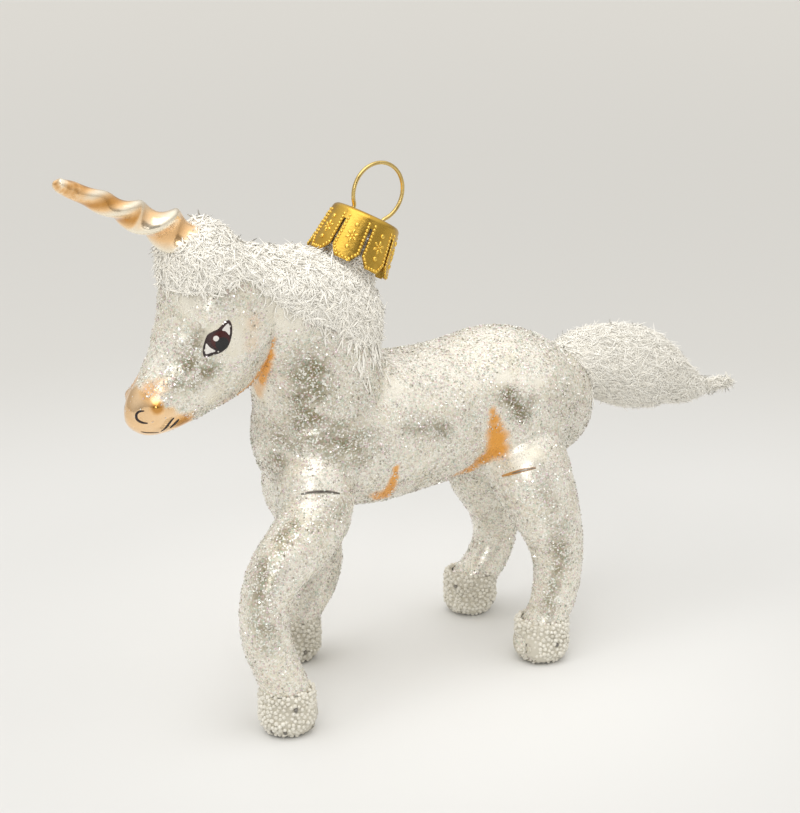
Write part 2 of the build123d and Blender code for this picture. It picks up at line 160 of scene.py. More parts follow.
# Bumps and hollows of the left side. The right side has their mirror images.
SWELLS: tuple[Swell, ...] = (
    Swell((-49.2, -8.4, 72.2), 2.6, 0.42),
    Swell((-50.4, -7.2, 76.6), 2.6, 0.55),
    Swell((-53.4, -5.8, 73.2), 2.6, -0.75),
    Swell((-55.2, -5.0, 68.6), 2.8, -0.6),
    Swell((-46.4, -9.0, 66.0), 4.6, 0.65),
    Swell((-43.0, -9.2, 72.5), 2.6, -0.35),
    Swell((-59.2, -4.4, 60.9), 1.3, 1.0),
    Swell((-61.3, -2.9, 59.2), 1.5, -0.28),
    Swell((-56.8, -4.9, 57.9), 1.1, -0.4),
    Swell((-39.6, -8.2, 65.0), 2.2, -0.7),
    Swell((-27.0, -11.5, 52.0), 6.5, 0.65),
    Swell((-16.6, -10.4, 54.5), 4.0, -0.65),
    Swell((-33.0, -8.5, 58.0), 3.6, -0.4),
    Swell((6.6, -12.2, 46.0), 3.8, -0.85),
    Swell((4.6, -9.0, 39.6), 2.4, -0.5),
    Swell((17.5, -13.0, 49.0), 7.0, 0.7),
    Swell((-4.0, -12.4, 45.0), 8.0, 0.3),
    Swell((29.0, -6.5, 53.0), 4.0, 0.35),
)

# Painted marks and painted shade of the left side: centre, reach, strength and, for a streak, its end.
# The right side has their mirror images.
MARKS: dict[Paint, tuple[tuple, ...]] = {
    Paint.WARM: (
        ((5.8, -12.2, 50.0), 0.91, 0.8),
        ((6.2, -12.2, 48.2), 1.3, 0.95),
        ((6.6, -12.2, 46.1), 1.8, 1.0),
        ((7.2, -11.6, 44.0), 2.2, 1.0),
        ((7.4, -11.0, 42.1), 2.3, 1.0),
        ((5.6, -9.8, 40.2), 1.9, 1.0),
        ((4.3, -8.0, 38.3), 1.6, 0.9),
        ((2.4, -8.3, 38.3), 1.2, 0.85),
        ((0.6, -8.5, 38.4), 0.91, 0.7),
        ((-15.5, -11.9, 43.6), 0.6, 0.9, (-15.3, -11.0, 41.2)),
        ((-15.3, -11.0, 41.2), 0.9, 1.0, (-15.2, -9.6, 39.0)),
        ((-15.2, -9.6, 39.0), 1.3, 1.0, (-15.4, -7.8, 37.0)),
        ((-15.4, -7.8, 37.0), 1.6, 1.0, (-18.4, -10.4, 37.0)),
        ((-18.4, -10.4, 37.0), 1.0, 0.9, (-20.6, -11.6, 36.0)),
        ((-37.7, -6.9, 69.8), 0.55, 0.9, (-37.3, -5.3, 66.6)),
        ((-37.3, -5.3, 66.6), 0.9, 1.0, (-38.6, -5.5, 64.5)),
        ((-38.6, -5.5, 64.5), 1.2, 1.0, (-40.4, -5.4, 62.7)),
        ((-40.4, -5.4, 62.7), 1.0, 1.0, (-42.9, -5.2, 60.9)),
        ((-37.2, -4.2, 64.6), 1.0, 0.9, (-36.9, -1.6, 60.8)),
        ((-36.9, -1.6, 60.8), 1.3, 0.5, (-36.6, 0.0, 58.4)),
        ((-46.0, -4.6, 59.6), 1.4, 0.35),
        ((-42.6, -9.2, 74.0), 1.9, 0.3),
        ((-43.2, -9.1, 70.6), 1.7, 0.28),
        ((-53.6, -1.6, 86.6), 3.4, 0.7),
        ((-59.6, -3.0, 63.6), 1.8, 0.6),
        ((-58.2, -3.9, 64.4), 1.6, 0.45),
        ((-54.0, -4.5, 57.6), 1.7, 0.75),
        ((-59.4, -5.0, 61.0), 1.0, 1.0),
    ),
    Paint.BARE: (
        # The first two spots leave the glass smooth and free of glitter as painted highlights on the flank.
        ((15.8, -12.0, 53.6), 1.1, 1.0),
        ((9.2, -10.5, 55.4), 1.5, 1.0),
        ((-49.3, -8.3, 72.2), 2.9, 1.0),
        ((-46.7, -9.0, 70.6), 2.4, 0.9),
        ((-45.6, -9.3, 73.6), 2.4, 0.9),
        ((-37.0, -8.0, 75.2), 3.2, 1.0),
        ((-34.0, -8.8, 73.2), 2.5, 1.0),
        ((-52.8, -4.9, 78.9), 2.5, 0.9),
        ((-49.8, -6.4, 61.7), 2.2, 0.9),
        ((10.9, -13.6, 40.6), 2.6, 1.0),
        ((13.0, -14.6, 41.2), 2.0, 0.9),
        ((7.0, -11.4, 43.0), 1.9, 0.9),
        ((-36.4, -1.4, 58.6), 2.4, 0.9),
        ((-14.0, -8.4, 57.4), 2.2, 0.7),
    ),
    # Painted shade and painted dark reflections: the face's hollows, neck, shoulder, chest, the legs' shaded
    # sides and the flank's bare silvering.
    Paint.SHADE: (
        ((-51.9, -6.9, 72.8), 1.6, 0.7, (-53.5, -6.3, 69.2)),
        ((-53.5, -6.3, 69.2), 2.1, 0.84, (-55.6, -5.3, 65.4)),
        ((-50.6, -7.9, 67.7), 1.9, 0.72, (-52.7, -6.8, 65.3)),
        ((-47.5, -8.6, 79.4), 2.4, 0.4, (-52.0, -6.0, 81.0)),
        ((9.3, -12.0, 52.2), 1.7, 1.1, (11.8, -12.8, 48.4)),
        ((13.2, -12.8, 51.2), 1.2, 0.7, (12.4, -12.8, 48.2)),
        ((-12.6, -12.2, 51.0), 1.9, 0.6, (-5.2, -12.4, 48.8)),
        ((-31.4, -9.0, 63.4), 4.3, 0.82, (-31.6, -8.4, 53.0)),
        ((-30.6, -8.8, 53.2), 4.0, 0.74, (-23.3, -11.8, 49.2)),
        ((-22.5, -10.6, 57.5), 3.6, 0.3),
        ((-35.1, -4.0, 45.6), 3.2, 0.6, (-34.6, -5.5, 51.2)),
        ((-29.4, -15.2, 39.6), 2.4, 0.5, (-38.6, -14.8, 38.4)),
        ((-38.6, -14.8, 38.4), 2.1, 0.76, (-44.6, -15.5, 33.6)),
        ((-44.6, -15.5, 33.6), 2.3, 0.76, (-47.0, -16.2, 27.4)),
        ((-47.0, -16.2, 27.4), 2.3, 0.62, (-45.4, -16.6, 19.5)),
        ((20.5, -12.9, 49.8), 4.4, 0.34, (24.0, -11.7, 43.0)),
        ((13.6, -17.4, 34.4), 2.4, 0.45, (16.6, -18.6, 27.0)),
        ((16.6, -18.6, 27.0), 2.1, 0.62, (17.3, -17.6, 19.6)),
        ((17.3, -17.6, 19.6), 1.5, 0.7, (15.2, -16.1, 9.6)),
    ),
}
SPOTS = tuple(Spot(paint, *mark) for paint, marks in MARKS.items() for mark in marks)

# The muzzle's lustre runs from the nose back along the face to a ragged edge
NOSE: Point = (-61.6, 0.0, 56.6)
FACE_HEADING = math.radians(234.7)
MUZZLE_REACH = 6.4

# The pike's rim, and the axis that the cap turns about
RIM: Point = (-13.3903, 0.0, 86.2995)
PIKE_TILT = math.radians(30.0)


def skin_axes() -> tuple[Vector, Vector, Vector]:
    """Return the pike's own axes: towards the tail, across and out of the bore.

    Returns:
        The three axes, each with a length of 1.
    """
    along = Vector((math.cos(PIKE_TILT), 0.0, -math.sin(PIKE_TILT)))
    out = Vector((math.sin(PIKE_TILT), 0.0, math.cos(PIKE_TILT)))
    return along, Vector((0.0, 1.0, 0.0)), out


def read_rows(items: bpy.types.bpy_prop_collection, name: str, width: int, kind: type) -> Array:
    """Read one property of all the items as rows of numbers.

    Args:
        items: The mesh's items.
        name: The property's name.
        width: How many numbers each item has.
        kind: The type of the numbers.

    Returns:
        One row for each item.
    """
    values = np.empty(len(items) * width, kind)
    items.foreach_get(name, values)
    return values.reshape(-1, width)


def vertex_points(mesh: Mesh) -> Array:
    """Read a mesh's points, in metres."""
    return read_rows(mesh.vertices, "co", 3, np.float32).astype(float)


def vertex_normals(mesh: Mesh) -> Array:
    """Read a mesh's smooth vertex normals."""
    return read_rows(mesh.vertex_normals, "vector", 3, np.float32).astype(float)


def triangle_rows(mesh: Mesh) -> Array:
    """Read a mesh's triangles as rows of three vertex numbers."""
    mesh.calc_loop_triangles()
    return read_rows(mesh.loop_triangles, "vertices", 3, np.int32)


def edge_rows(mesh: Mesh) -> Array:
    """Read a mesh's edges as rows of two vertex numbers."""
    return read_rows(mesh.edges, "vertices", 2, np.int32)


def square_rows(mesh: Mesh) -> Array:
    """Read a skin's square faces as rows of four vertex numbers."""
    return read_rows(mesh.loops, "vertex_index", 1, np.int32).reshape(-1, 4)


def triangle_areas(points: Array, rows: Array) -> Array:
    """Measure the area of each triangle."""
    first, second, third = points[rows].transpose(1, 0, 2)
    return np.linalg.norm(np.cross(second - first, third - first), axis=1) / 2


def unit(rows: Array) -> Array:
    """Scale each row to a length of 1."""
    return rows / np.maximum(np.linalg.norm(rows, axis=1), TINY)[:, None]


def move(mesh: Mesh, points: Array) -> None:
    """Give a mesh's vertices new places."""
    mesh.vertices.foreach_set("co", np.ascontiguousarray(points, np.float32).ravel())
    mesh.update()


def link(piece: Object) -> Object:
    """Put an object in the scene and hand it back."""
    bpy.context.scene.collection.objects.link(piece)
    return piece


def baked_mesh(holder: Object) -> Mesh:
    """Take an object's finished mesh and remove the object.

    Args:
        holder: The object, which is removed.

    Returns:
        A mesh of its own.
    """
    graph = bpy.context.evaluated_depsgraph_get()
    mesh = bpy.data.meshes.new_from_object(holder.evaluated_get(graph))
    bpy.data.objects.remove(holder)
    return mesh


def form_mesh(name: str, form: bmesh.types.BMesh) -> Mesh:
    """Turn a form into a mesh and free the form.

    Args:
        name: The mesh's name.
        form: The form, which is freed.

    Returns:
        The new mesh.
    """
    mesh = bpy.data.meshes.new(name)
    form.to_mesh(mesh)
    form.free()
    return mesh


def bulk_mesh(name: str, points: Array, faces: Array, smooth: bool = True) -> Mesh:
    """Make a mesh from arrays.

    Args:
        name: The mesh's name.
        points: One row for each vertex, in metres.
        faces: One row of vertex numbers for each face, all with the same number of corners.
        smooth: Whether the faces are shaded smooth.

    Returns:
        The new mesh.
    """
    mesh = bpy.data.meshes.new(name)
    mesh.vertices.add(len(points))
    mesh.vertices.foreach_set("co", np.ascontiguousarray(points, np.float32).ravel())
    mesh.loops.add(faces.size)
    mesh.loops.foreach_set("vertex_index", np.ascontiguousarray(faces, np.int32).ravel())
    mesh.polygons.add(len(faces))
    mesh.polygons.foreach_set("loop_start", np.arange(0, faces.size, faces.shape[1], dtype=np.int32))
    mesh.update(calc_edges=True)
    if smooth:
        mesh.shade_smooth()
    return mesh


def store(mesh: Mesh, name: str, values: Array) -> None:
    """Keep one value for each vertex under a name that the finishes read."""
    layer = mesh.attributes.new(name, "FLOAT", "POINT")
    layer.data.foreach_set("value", np.ascontiguousarray(values, np.float32))


def tint(mesh: Mesh, tone: Array, hue: Array, each: int = 1) -> None:
    """Store the tone and the hue of grains that have so many points each."""
    store(mesh, "tone", np.repeat(tone, each))
    store(mesh, "hue", np.repeat(hue, each))


def strip_faces(rings: int, sides: int, closed: bool) -> Array:
    """Join rings of points with square faces.

    Args:
        rings: How many rings there are.
        sides: How many points each ring has.
        closed: Whether a ring's last point joins its first.

    Returns:
        One row of four vertex numbers for each face.
    """
    start = np.arange(rings - 1)[:, None] * sides
    here = np.arange(sides if closed else sides - 1)
    low, high = start + here, start + (here + 1) % sides
    return np.stack([low, high, high + sides, low + sides], axis=-1).reshape(-1, 4)


def show(
    name: str, mesh: Mesh, material: Material, body: str, replaced: str | None = None
) -> None:
    """Put a finished piece in the scene and tie it to the part.

    Args:
        name: The piece's name.
        mesh: Its mesh, in the part's frame.
        material: Its finish.
        body: The moving body that carries it.
        replaced: The solid that it stands for, if any.
    """
    piece = link(bpy.data.objects.new(name, mesh))
    mesh.materials.clear()
    mesh.materials.append(material)
    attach(piece, body)
    if replaced is not None:
        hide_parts(replaced)
    LOG.info("%s: %d faces", name, len(mesh.polygons))


def relax(points: Array, edges: Array, rounds: int, share: float, hold: Array | None = None) -> Array:
    """Even out a skin by moving each point towards the mean of its neighbours.

    Args:
        points: The skin's points.
        edges: Its edges.
        rounds: How many times to move the points.
        share: How much of the way each round goes; a negative share puffs the skin out again.
        hold: How freely each point moves, from 0 to 1.

    Returns:
        The moved points.
    """
    count = len(points)
    degree = np.maximum(np.bincount(edges.ravel(), minlength=count), 1)[:, None]
    freedom = share if hold is None else share * hold[:, None]
    for _ in range(rounds):
        total = np.stack(
            [
                np.bincount(edges[:, 0], points[edges[:, 1], axis], count)
                + np.bincount(edges[:, 1], points[edges[:, 0], axis], count)
                for axis in range(3)
            ],
            axis=1,
        )
        points = points + freedom * (total / degree - points)
    return points


def even_skin(points: Array, edges: Array, rounds: int) -> Array:
    """Smooth a skin without shrinking it.

    Args:
        points: The skin's points.
        edges: Its edges.
        rounds: How many times to smooth it.

    Returns:
        The moved points.
    """
    for _ in range(rounds):
        for share in SMOOTH_AND_PUFF:
            points = relax(points, edges, 1, share)
    return points


def remeshed(name: str, source: bmesh.types.BMesh, voxel: float) -> Mesh:
    """Wrap a closed form in one even skin of small square faces.

    Args:
        name: A name for the result.
        source: The form, which is freed.
        voxel: The size of the squares, in metres.

    Returns:
        The largest connected skin.
    """
    rough = form_mesh(name + "_rough", source)
    holder = link(bpy.data.objects.new(name + "_rough", rough))
    wrap = holder.modifiers.new("wrap", "REMESH")
    wrap.mode = "VOXEL"
    wrap.voxel_size = voxel
    skin = baked_mesh(holder)
    bpy.data.meshes.remove(rough)
    return largest_skin(name, skin)


def largest_skin(name: str, mesh: Mesh) -> Mesh:
    """Keep the largest connected skin of a mesh, which drops the walls of hollow spaces.

    Args:
        name: A name for the result.
        mesh: The mesh, which is removed.

    Returns:
        A mesh of the largest skin alone.
    """
    points = vertex_points(mesh)
    edges = edge_rows(mesh)
    label = np.arange(len(points))
    while True:
        low = np.minimum(label[edges[:, 0]], label[edges[:, 1]])
        fresh = label.copy()
        np.minimum.at(fresh, edges[:, 0], low)
        np.minimum.at(fresh, edges[:, 1], low)
        fresh = fresh[fresh]
        if np.array_equal(fresh, label):
            break
        label = fresh
    kept = label == np.bincount(label).argmax()
    faces = square_rows(mesh)
    faces = faces[kept[faces].all(axis=1)]
    number = np.cumsum(kept) - 1
    bpy.data.meshes.remove(mesh)
    return bulk_mesh(name, points[kept], number[faces])


def joined(nodes: Solids, names: list[str]) -> bmesh.types.BMesh:
    """Copy solids of the part into one welded form.

    Args:
        nodes: The part's solids by name.
        names: The solids to copy.

    Returns:
        The welded form.
    """
    form = bmesh.new()
    for name in names:
        form.from_mesh(nodes[name].data)
    bmesh.ops.remove_doubles(form, verts=form.verts, dist=WELD)
    return form


def surface_tree(mesh: Mesh) -> BVHTree:
    """Make a search tree of a surface."""
    return BVHTree.FromPolygons(vertex_points(mesh).tolist(), triangle_rows(mesh).tolist())


def distances(tree: BVHTree, points: Array) -> Array:
    """Measure how far each point lies from a surface."""
    return np.array([tree.find_nearest(Vector(point))[3] for point in points])


def lumps(points: Array, scale: float, seed: int) -> Array:
    """Make a soft random value from about -1 to 1 at each point.

    Args:
        points: The points, in metres.
        scale: The size of the lumps, in metres.
        seed: Which of the random patterns to use.

    Returns:
        One value for each point.
    """
    rng = np.random.default_rng(seed)
    total = np.zeros(len(points))
    for _ in range(LUMP_WAVES):
        direction = rng.normal(size=3)
        direction *= rng.uniform(0.6, 1.6) / np.linalg.norm(direction)
        total += np.sin(points @ direction * (2 * math.pi / scale) + rng.uniform(0, 2 * math.pi))
    return total / LUMP_LEVEL


def scatter(mesh: Mesh, count: int, weights: Array, seed: int) -> tuple[Array, Array, Array, Array]:
    """Drop points at random over a skin.

    Args:
        mesh: The skin.
        count: How many points to drop.
        weights: How thickly they fall at each vertex.
        seed: Which of the random patterns to use.

    Returns:
        The points, the skin's normals there, the triangles that they fell on, and each point's shares
        of its triangle's corners.
    """
    rng = np.random.default_rng(seed)
    points = vertex_points(mesh)
    rows = triangle_rows(mesh)
    area = triangle_areas(points, rows) * weights[rows].mean(axis=1)
    picks = rng.choice(len(rows), size=count, p=area / area.sum())
    first = np.sqrt(rng.random(count))
    second = rng.random(count)
    shares = np.stack([1 - first, first * (1 - second), first * second], axis=1)[:, :, None]
    place = (points[rows[picks]] * shares).sum(axis=1)
    normal = unit((vertex_normals(mesh)[rows[picks]] * shares).sum(axis=1))
    return place, normal, rows[picks], shares[:, :, 0]


def crosswise(normals: Array, hints: Array) -> Array:
    """Lay wanted directions flat on a skin with these normals, at a length of 1."""
    return unit(hints - normals * (hints * normals).sum(axis=1)[:, None])


class NodeBench:
    """A small helper that lays out shader nodes and joins them."""

    def __init__(self, tree: NodeTree) -> None:
        """Start on an empty node tree."""
        self.tree = tree
        tree.nodes.clear()

    def node(self, kind: str, **values: object) -> Node:
        """Add a node.

        Args:
            kind: The node's type.
            **values: Its own settings by name.

        Returns:
            The new node.
        """
        made = self.tree.nodes.new(kind)
        for name, value in values.items():
            setattr(made, name, value)
        return made

    def join(self, source: Socket, target: Socket) -> None:
        """Link two sockets."""
        self.tree.links.new(source, target)

    def feed(self, target: Socket, value: object) -> None:
        """Link a socket to another one, or set it to a constant.

        Args:
            target: The input socket.
            value: An output socket, a colour or a number.
        """
        if isinstance(value, Socket):
            self.join(value, target)
        elif isinstance(value, tuple) and len(value) == 3 and target.type == "RGBA":
            target.default_value = (*value, 1.0)
        else:
            target.default_value = value

    def math(self, operation: str, first: object, second: object, clamp: bool = False) -> Socket:
        """Work out one sum of two values.

        Args:
            operation: Blender's name for the sum.
            first: A socket or a number.
            second: A socket or a number.
            clamp: Whether the result stays from 0 to 1.

        Returns:
            The result's socket.
        """
        made = self.node("ShaderNodeMath", operation=operation, use_clamp=clamp)
        self.feed(made.inputs[0], first)
        self.feed(made.inputs[1], second)
        return made.outputs[0]

    def fill(self, made: Node, values: dict[str, object]) -> None:
        """Feed several inputs of a node by name."""
        for name, value in values.items():
            self.feed(made.inputs[name], value)

    def blend(self, amount: object, low: object, high: object) -> Socket:
        """Mix two colours by an amount.

        Args:
            amount: How much of the high colour shows.
            low: The colour at 0.
            high: The colour at 1.

        Returns:
            The mixed colour's socket.
        """
        made = self.node("ShaderNodeMix", data_type="RGBA")
        self.feed(made.inputs[0], amount)
        self.feed(made.inputs[6], low)
        self.feed(made.inputs[7], high)
        return made.outputs[2]

    def between(self, amount: object, low: float, high: float) -> Socket:
        """Run a value from a low to a high one as an amount goes from 0 to 1.

        Args:
            amount: A socket that runs from 0 to 1.
            low: The value at 0.
            high: The value at 1.

        Returns:
            The value's socket.
        """
        made = self.node("ShaderNodeMapRange")
        self.feed(made.inputs[0], amount)
        made.inputs[3].default_value = low
        made.inputs[4].default_value = high
        return made.outputs[0]

    def step(self, value: object, start: float, end: float) -> Socket:
        """Rise smoothly from 0 to 1 as a value passes from a start to an end.

        Args:
            value: The socket to look at.
            start: Where the rise starts.
            end: Where it ends.

        Returns:
            The rise's socket.
        """
        made = self.node("ShaderNodeMapRange", interpolation_type="SMOOTHSTEP")
        self.feed(made.inputs[0], value)
        made.inputs[1].default_value = start
        made.inputs[2].default_value = end
        return made.outputs[0]

    def layer(self, name: str) -> Socket:
        """Read a value that is kept on the skin."""
        return self.node("ShaderNodeAttribute", attribute_name=name).outputs["Fac"]

    def place(self) -> Socket:
        """Read where a point lies on the piece."""
        return self.node("ShaderNodeTexCoord").outputs["Object"]

    def noise(self, scale: float, detail: float = 4.0, rough: float = 0.55) -> Socket:
        """Make a soft random value over the piece.

        Args:
            scale: How fine it is.
            detail: How many finer layers it has.
            rough: How strong the finer layers are.

        Returns:
            The value's socket.
        """
        made = self.node("ShaderNodeTexNoise")
        self.join(self.place(), made.inputs["Vector"])
        self.fill(made, {"Scale": scale, "Detail": detail, "Roughness": rough})
        return made.outputs["Fac"]

    def relief(self, height: object, depth: float, strength: float) -> Socket:
        """Turn a height that varies over the surface into a bumped normal.

        Args:
            height: The height's socket.
            depth: How deep the relief is, in metres.
            strength: How strongly it shows.

        Returns:
            The normal's socket.
        """
        made = self.node("ShaderNodeBump")
        self.fill(made, {"Strength": strength, "Distance": depth, "Height": height})
        return made.outputs[0]

    def group(self, tree: NodeTree, **values: object) -> Node:
        """Place a shared effect with its own values.

        Args:
            tree: The effect.
            **values: Its inputs by name.

        Returns:
            The new node.
        """
        made = self.node("ShaderNodeGroup", node_tree=tree)
        self.fill(made, values)
        return made


class Effects:
    """Shared surface effects, each built once as a node group."""

    def __init__(self) -> None:
        """Build every group."""
        self.glitter = self.glitter_coat()
        self.mottle = self.hand_mottle()
        self.lustre = self.lustre_and_painted_light()
        self.tone = self.tone_shift()

    @staticmethod
    def empty_group(name: str, inputs: dict[str, object], *outputs: str) -> tuple[NodeBench, dict, dict]:
        """Start a group.

        Args:
            name: The group's name.
            inputs: Each input's name and its first value: a colour or a number.
            *outputs: The names of its outputs, of which Colour is a colour and the others are numbers.

        Returns:
            A bench on the group, its input sockets and its output sockets by name.
        """
        tree = bpy.data.node_groups.new(name, "ShaderNodeTree")
        for title, value in inputs.items():
            kind = "NodeSocketColor" if isinstance(value, tuple) else "NodeSocketFloat"
            made = tree.interface.new_socket(title, in_out="INPUT", socket_type=kind)
            made.default_value = (*value, 1.0) if isinstance(value, tuple) else value
        for title in outputs:
            kind = "NodeSocketColor" if title == "Colour" else "NodeSocketFloat"
            tree.interface.new_socket(title, in_out="OUTPUT", socket_type=kind)
        bench = NodeBench(tree)
        source = bench.node("NodeGroupInput")
        target = bench.node("NodeGroupOutput")
        return bench, dict(source.outputs.items()), dict(target.inputs.items())

    def glitter_coat(self) -> NodeTree:
        """Scatter fine flecks, each with its own tone, over a colour; the dark flecks are painted
        reflections of dark surroundings.

        Returns:
            The finished group.
        """
        bench, got, gives = self.empty_group(
            "Glitter Coat",
            {"Colour": (0.7, 0.7, 0.7), "Cover": 1.0, "Fineness": 3400.0},
            "Colour",
            "Roughness",
            "Height",
        )
        cells = bench.node("ShaderNodeTexVoronoi")
        bench.join(bench.place(), cells.inputs["Vector"])
        bench.join(got["Fineness"], cells.inputs["Scale"])
        parts = bench.node("ShaderNodeSeparateColor")
        bench.join(cells.outputs["Color"], parts.inputs[0])
        tone, hue, tilt = parts.outputs
        colour = got["Colour"]
        for chance, start, end, share, fleck in (
            (hue, 0.82, 0.95, 0.42, (0.78, 0.50, 0.54)),
            (hue, 0.16, 0.05, 0.38, (0.46, 0.68, 0.54)),
            # Dark flecks: painted reflections of dark surroundings.
            (tone, 0.22, 0.06, 0.36, (0.24, 0.215, 0.16)),
            (tone, 0.70, 0.92, 0.80, (0.97, 0.955, 0.905)),
        ):
            seen = bench.math("MULTIPLY", bench.step(chance, start, end), got["Cover"])
            colour = bench.blend(bench.math("MULTIPLY", seen, share), colour, fleck)
        bench.join(colour, gives["Colour"])
        bench.join(bench.between(tilt, 0.50, 0.22), gives["Roughness"])
        bench.join(bench.math("MULTIPLY", tilt, got["Cover"]), gives["Height"])
        return bench.tree

    def hand_mottle(self) -> NodeTree:
        """Vary a colour softly, as a hand-sprayed coat does.

        Returns:
            The finished group.
        """
        bench, got, gives = self.empty_group(
            "Hand Mottle",
            {"Colour": (0.7, 0.7, 0.7), "Patch": (0.6, 0.6, 0.6), "Amount": 0.5},
            "Colour",
        )
        mask = bench.step(bench.noise(210.0, 5.0, 0.6), 0.42, 0.66)
        amount = bench.math("MULTIPLY", mask, got["Amount"])
        bench.join(bench.blend(amount, got["Colour"], got["Patch"]), gives["Colour"])
        return bench.tree

    def lustre_and_painted_light(self) -> NodeTree:
        """Run from peach in the hollows, a painted shade, to champagne on the ridges, a painted highlight,
        with painted darker reflections.

        Returns:
            The finished group.
        """
        bench, got, gives = self.empty_group("Lustre Colour", {"Ridge": 0.5}, "Colour", "Roughness")
        ramp = bench.node("ShaderNodeValToRGB")
        stops = ramp.color_ramp.elements
        # The dark orange low stop paints shade in the grooves and the pale champagne high stop paints a
        # highlight on the ridges.
        stops[0].position, stops[0].color = 0.06, (0.62, 0.30, 0.07, 1.0)
        stops[1].position, stops[1].color = 0.95, (0.97, 0.89, 0.73, 1.0)
        middle = stops.new(0.48)
        middle.color = (0.94, 0.61, 0.31, 1.0)
        # Painted reflections: a soft cloud moves the colour along the ramp.
        cloud = bench.noise(260.0, 3.0, 0.5)
        bench.join(bench.math("ADD", got["Ridge"], bench.between(cloud, -0.16, 0.16)), ramp.inputs[0])
        bench.join(ramp.outputs[0], gives["Colour"])
        bench.join(bench.between(bench.noise(900.0), 0.13, 0.25), gives["Roughness"])
        return bench.tree

    def tone_shift(self) -> NodeTree:
        """Lighten or darken a colour by the tone that each small piece carries.

        Returns:
            The finished group.
        """
        bench, got, gives = self.empty_group(
            "Tone Shift",
            {"Colour": (0.8, 0.8, 0.8), "Low": (0.5, 0.5, 0.5), "Hue": (0.8, 0.8, 0.8)},
            "Colour",
        )
        colour = bench.blend(bench.layer("tone"), got["Low"], got["Colour"])
        bench.join(bench.blend(bench.layer("hue"), colour, got["Hue"]), gives["Colour"])
        return bench.tree


@dataclass(frozen=True)
class Finish:
    """What every finish shares: a name, the effects that it uses and a principled shader."""

    name: str
    effects: Effects

    def build(self) -> Material:
        """Build the material.

        Returns:
            The new material.
        """
        material = bpy.data.materials.new(self.name)
        material.use_nodes = True
        bench = NodeBench(material.node_tree)
        shader = bench.node("ShaderNodeBsdfPrincipled")
        target = bench.node("ShaderNodeOutputMaterial")
        bench.join(shader.outputs[0], target.inputs["Surface"])
        bench.fill(shader, self.surface(bench))
        return material

    def surface(self, bench: NodeBench) -> dict[str, object]:
        """Lay out the nodes.

        Args:
            bench: A bench on the material's nodes.

        Returns:
            What each input of the shader gets: a socket or a constant.
        """
        raise NotImplementedError(self.name)


@dataclass(frozen=True)
class PearlFinish(Finish):
    """Silvered glass under pearl lacquer: cream with painted shade, glittered, airbrushed and lustred at the
    muzzle.
    """

    cream: Point = (0.90, 0.86, 0.755)
    patch: Point = (0.74, 0.68, 0.52)
    # Painted shade: the dark olive grey that the shade value mixes in, which also paints dark reflections of
    # the silvering.
    painted_shade_silver: Point = (0.23, 0.195, 0.095)
    orange: Point = (0.82, 0.37, 0.055)

    def surface(self, bench: NodeBench) -> dict[str, object]:
        """Darken the lacquer with painted shade, lay glitter over it and the airbrushed marks over both.

        Args:
            bench: A bench on the material's nodes.

        Returns:
            What each input of the shader gets.
        """
        warm, bare, shade, lustre = (bench.layer(paint.value) for paint in Paint)
        soft = bench.group(self.effects.mottle, Colour=self.cream, Patch=self.patch, Amount=0.5)
        # Painted shade: the lacquer turns dark olive grey where the shade value is high.
        colour = bench.blend(shade, soft.outputs["Colour"], self.painted_shade_silver)
        open_skin = bench.math("SUBTRACT", 1.0, bench.math("MAXIMUM", bare, lustre), True)
        cover = bench.math("MULTIPLY", open_skin, bench.between(warm, 1.0, 0.25))
        coat = bench.group(self.effects.glitter, Colour=colour, Cover=cover, Fineness=3300.0)
        colour = bench.blend(warm, coat.outputs["Colour"], self.orange)
        peach = bench.group(self.effects.lustre, Ridge=bench.between(warm, 0.56, 0.0))
        rough = bench.node("ShaderNodeMix")
        for number, value in ((0, lustre), (2, coat.outputs["Roughness"]), (3, peach.outputs["Roughness"])):
            bench.join(value, rough.inputs[number])
        return {
            "Base Color": bench.blend(lustre, colour, peach.outputs["Colour"]),
            "Roughness": rough.outputs[0],
            "Metallic": bench.between(lustre, 0.38, 0.9),
            "Coat Weight": 0.25,
            "Coat Roughness": 0.18,
            "Normal": bench.relief(coat.outputs["Height"], 0.18 * MM, 0.5),
        }


@dataclass(frozen=True)
class FlakeFinish(Finish):
    """Loose iridescent glitter flakes; their dark tone is a painted reflection of dark surroundings."""

    pale: Point = (0.97, 0.945, 0.875)
    # Painted reflection: the tone of the dark flakes.
    dark: Point = (0.24, 0.215, 0.155)
    tint: Point = (0.80, 0.62, 0.68)
    film: Point = (0.62, 0.80, 0.70)

    def surface(self, bench: NodeBench) -> dict[str, object]:
        """Tint each flake by its own tone, under a faint green film.

        Args:
            bench: A bench on the material's nodes.

        Returns:
            What each input of the shader gets.
        """
        flake = bench.group(self.effects.tone, Colour=self.pale, Low=self.dark, Hue=self.tint).outputs[0]
        filmed = bench.blend(bench.step(bench.noise(700.0, 2.0), 0.52, 0.62), flake, self.film)
        return {
            "Base Color": bench.blend(0.35, flake, filmed),
            "Roughness": bench.between(bench.layer("tone"), 0.30, 0.14),
            "Metallic": 0.25,
            "Coat Weight": 0.6,
        }


@dataclass(frozen=True)
class LustreFinish(Finish):
    """Peach-gold lustre over glossy glass, for the horn, with painted shade in the grooves and a painted
    highlight on the ridges.
    """

    def surface(self, bench: NodeBench) -> dict[str, object]:
        """Colour the grooves with painted shade and the ridges with a painted highlight.

        Args:
            bench: A bench on the material's nodes.

        Returns:
            What each input of the shader gets.
        """
        peach = bench.group(self.effects.lustre, Ridge=bench.layer("ridge"))
        return {
            "Base Color": peach.outputs["Colour"],
            "Roughness": peach.outputs["Roughness"],
            "Metallic": 0.72,
            "Coat Weight": 0.5,
            "Coat Roughness": 0.06,
            "Normal": bench.relief(bench.noise(1300.0, 3.0), 0.1 * MM, 0.25),
        }


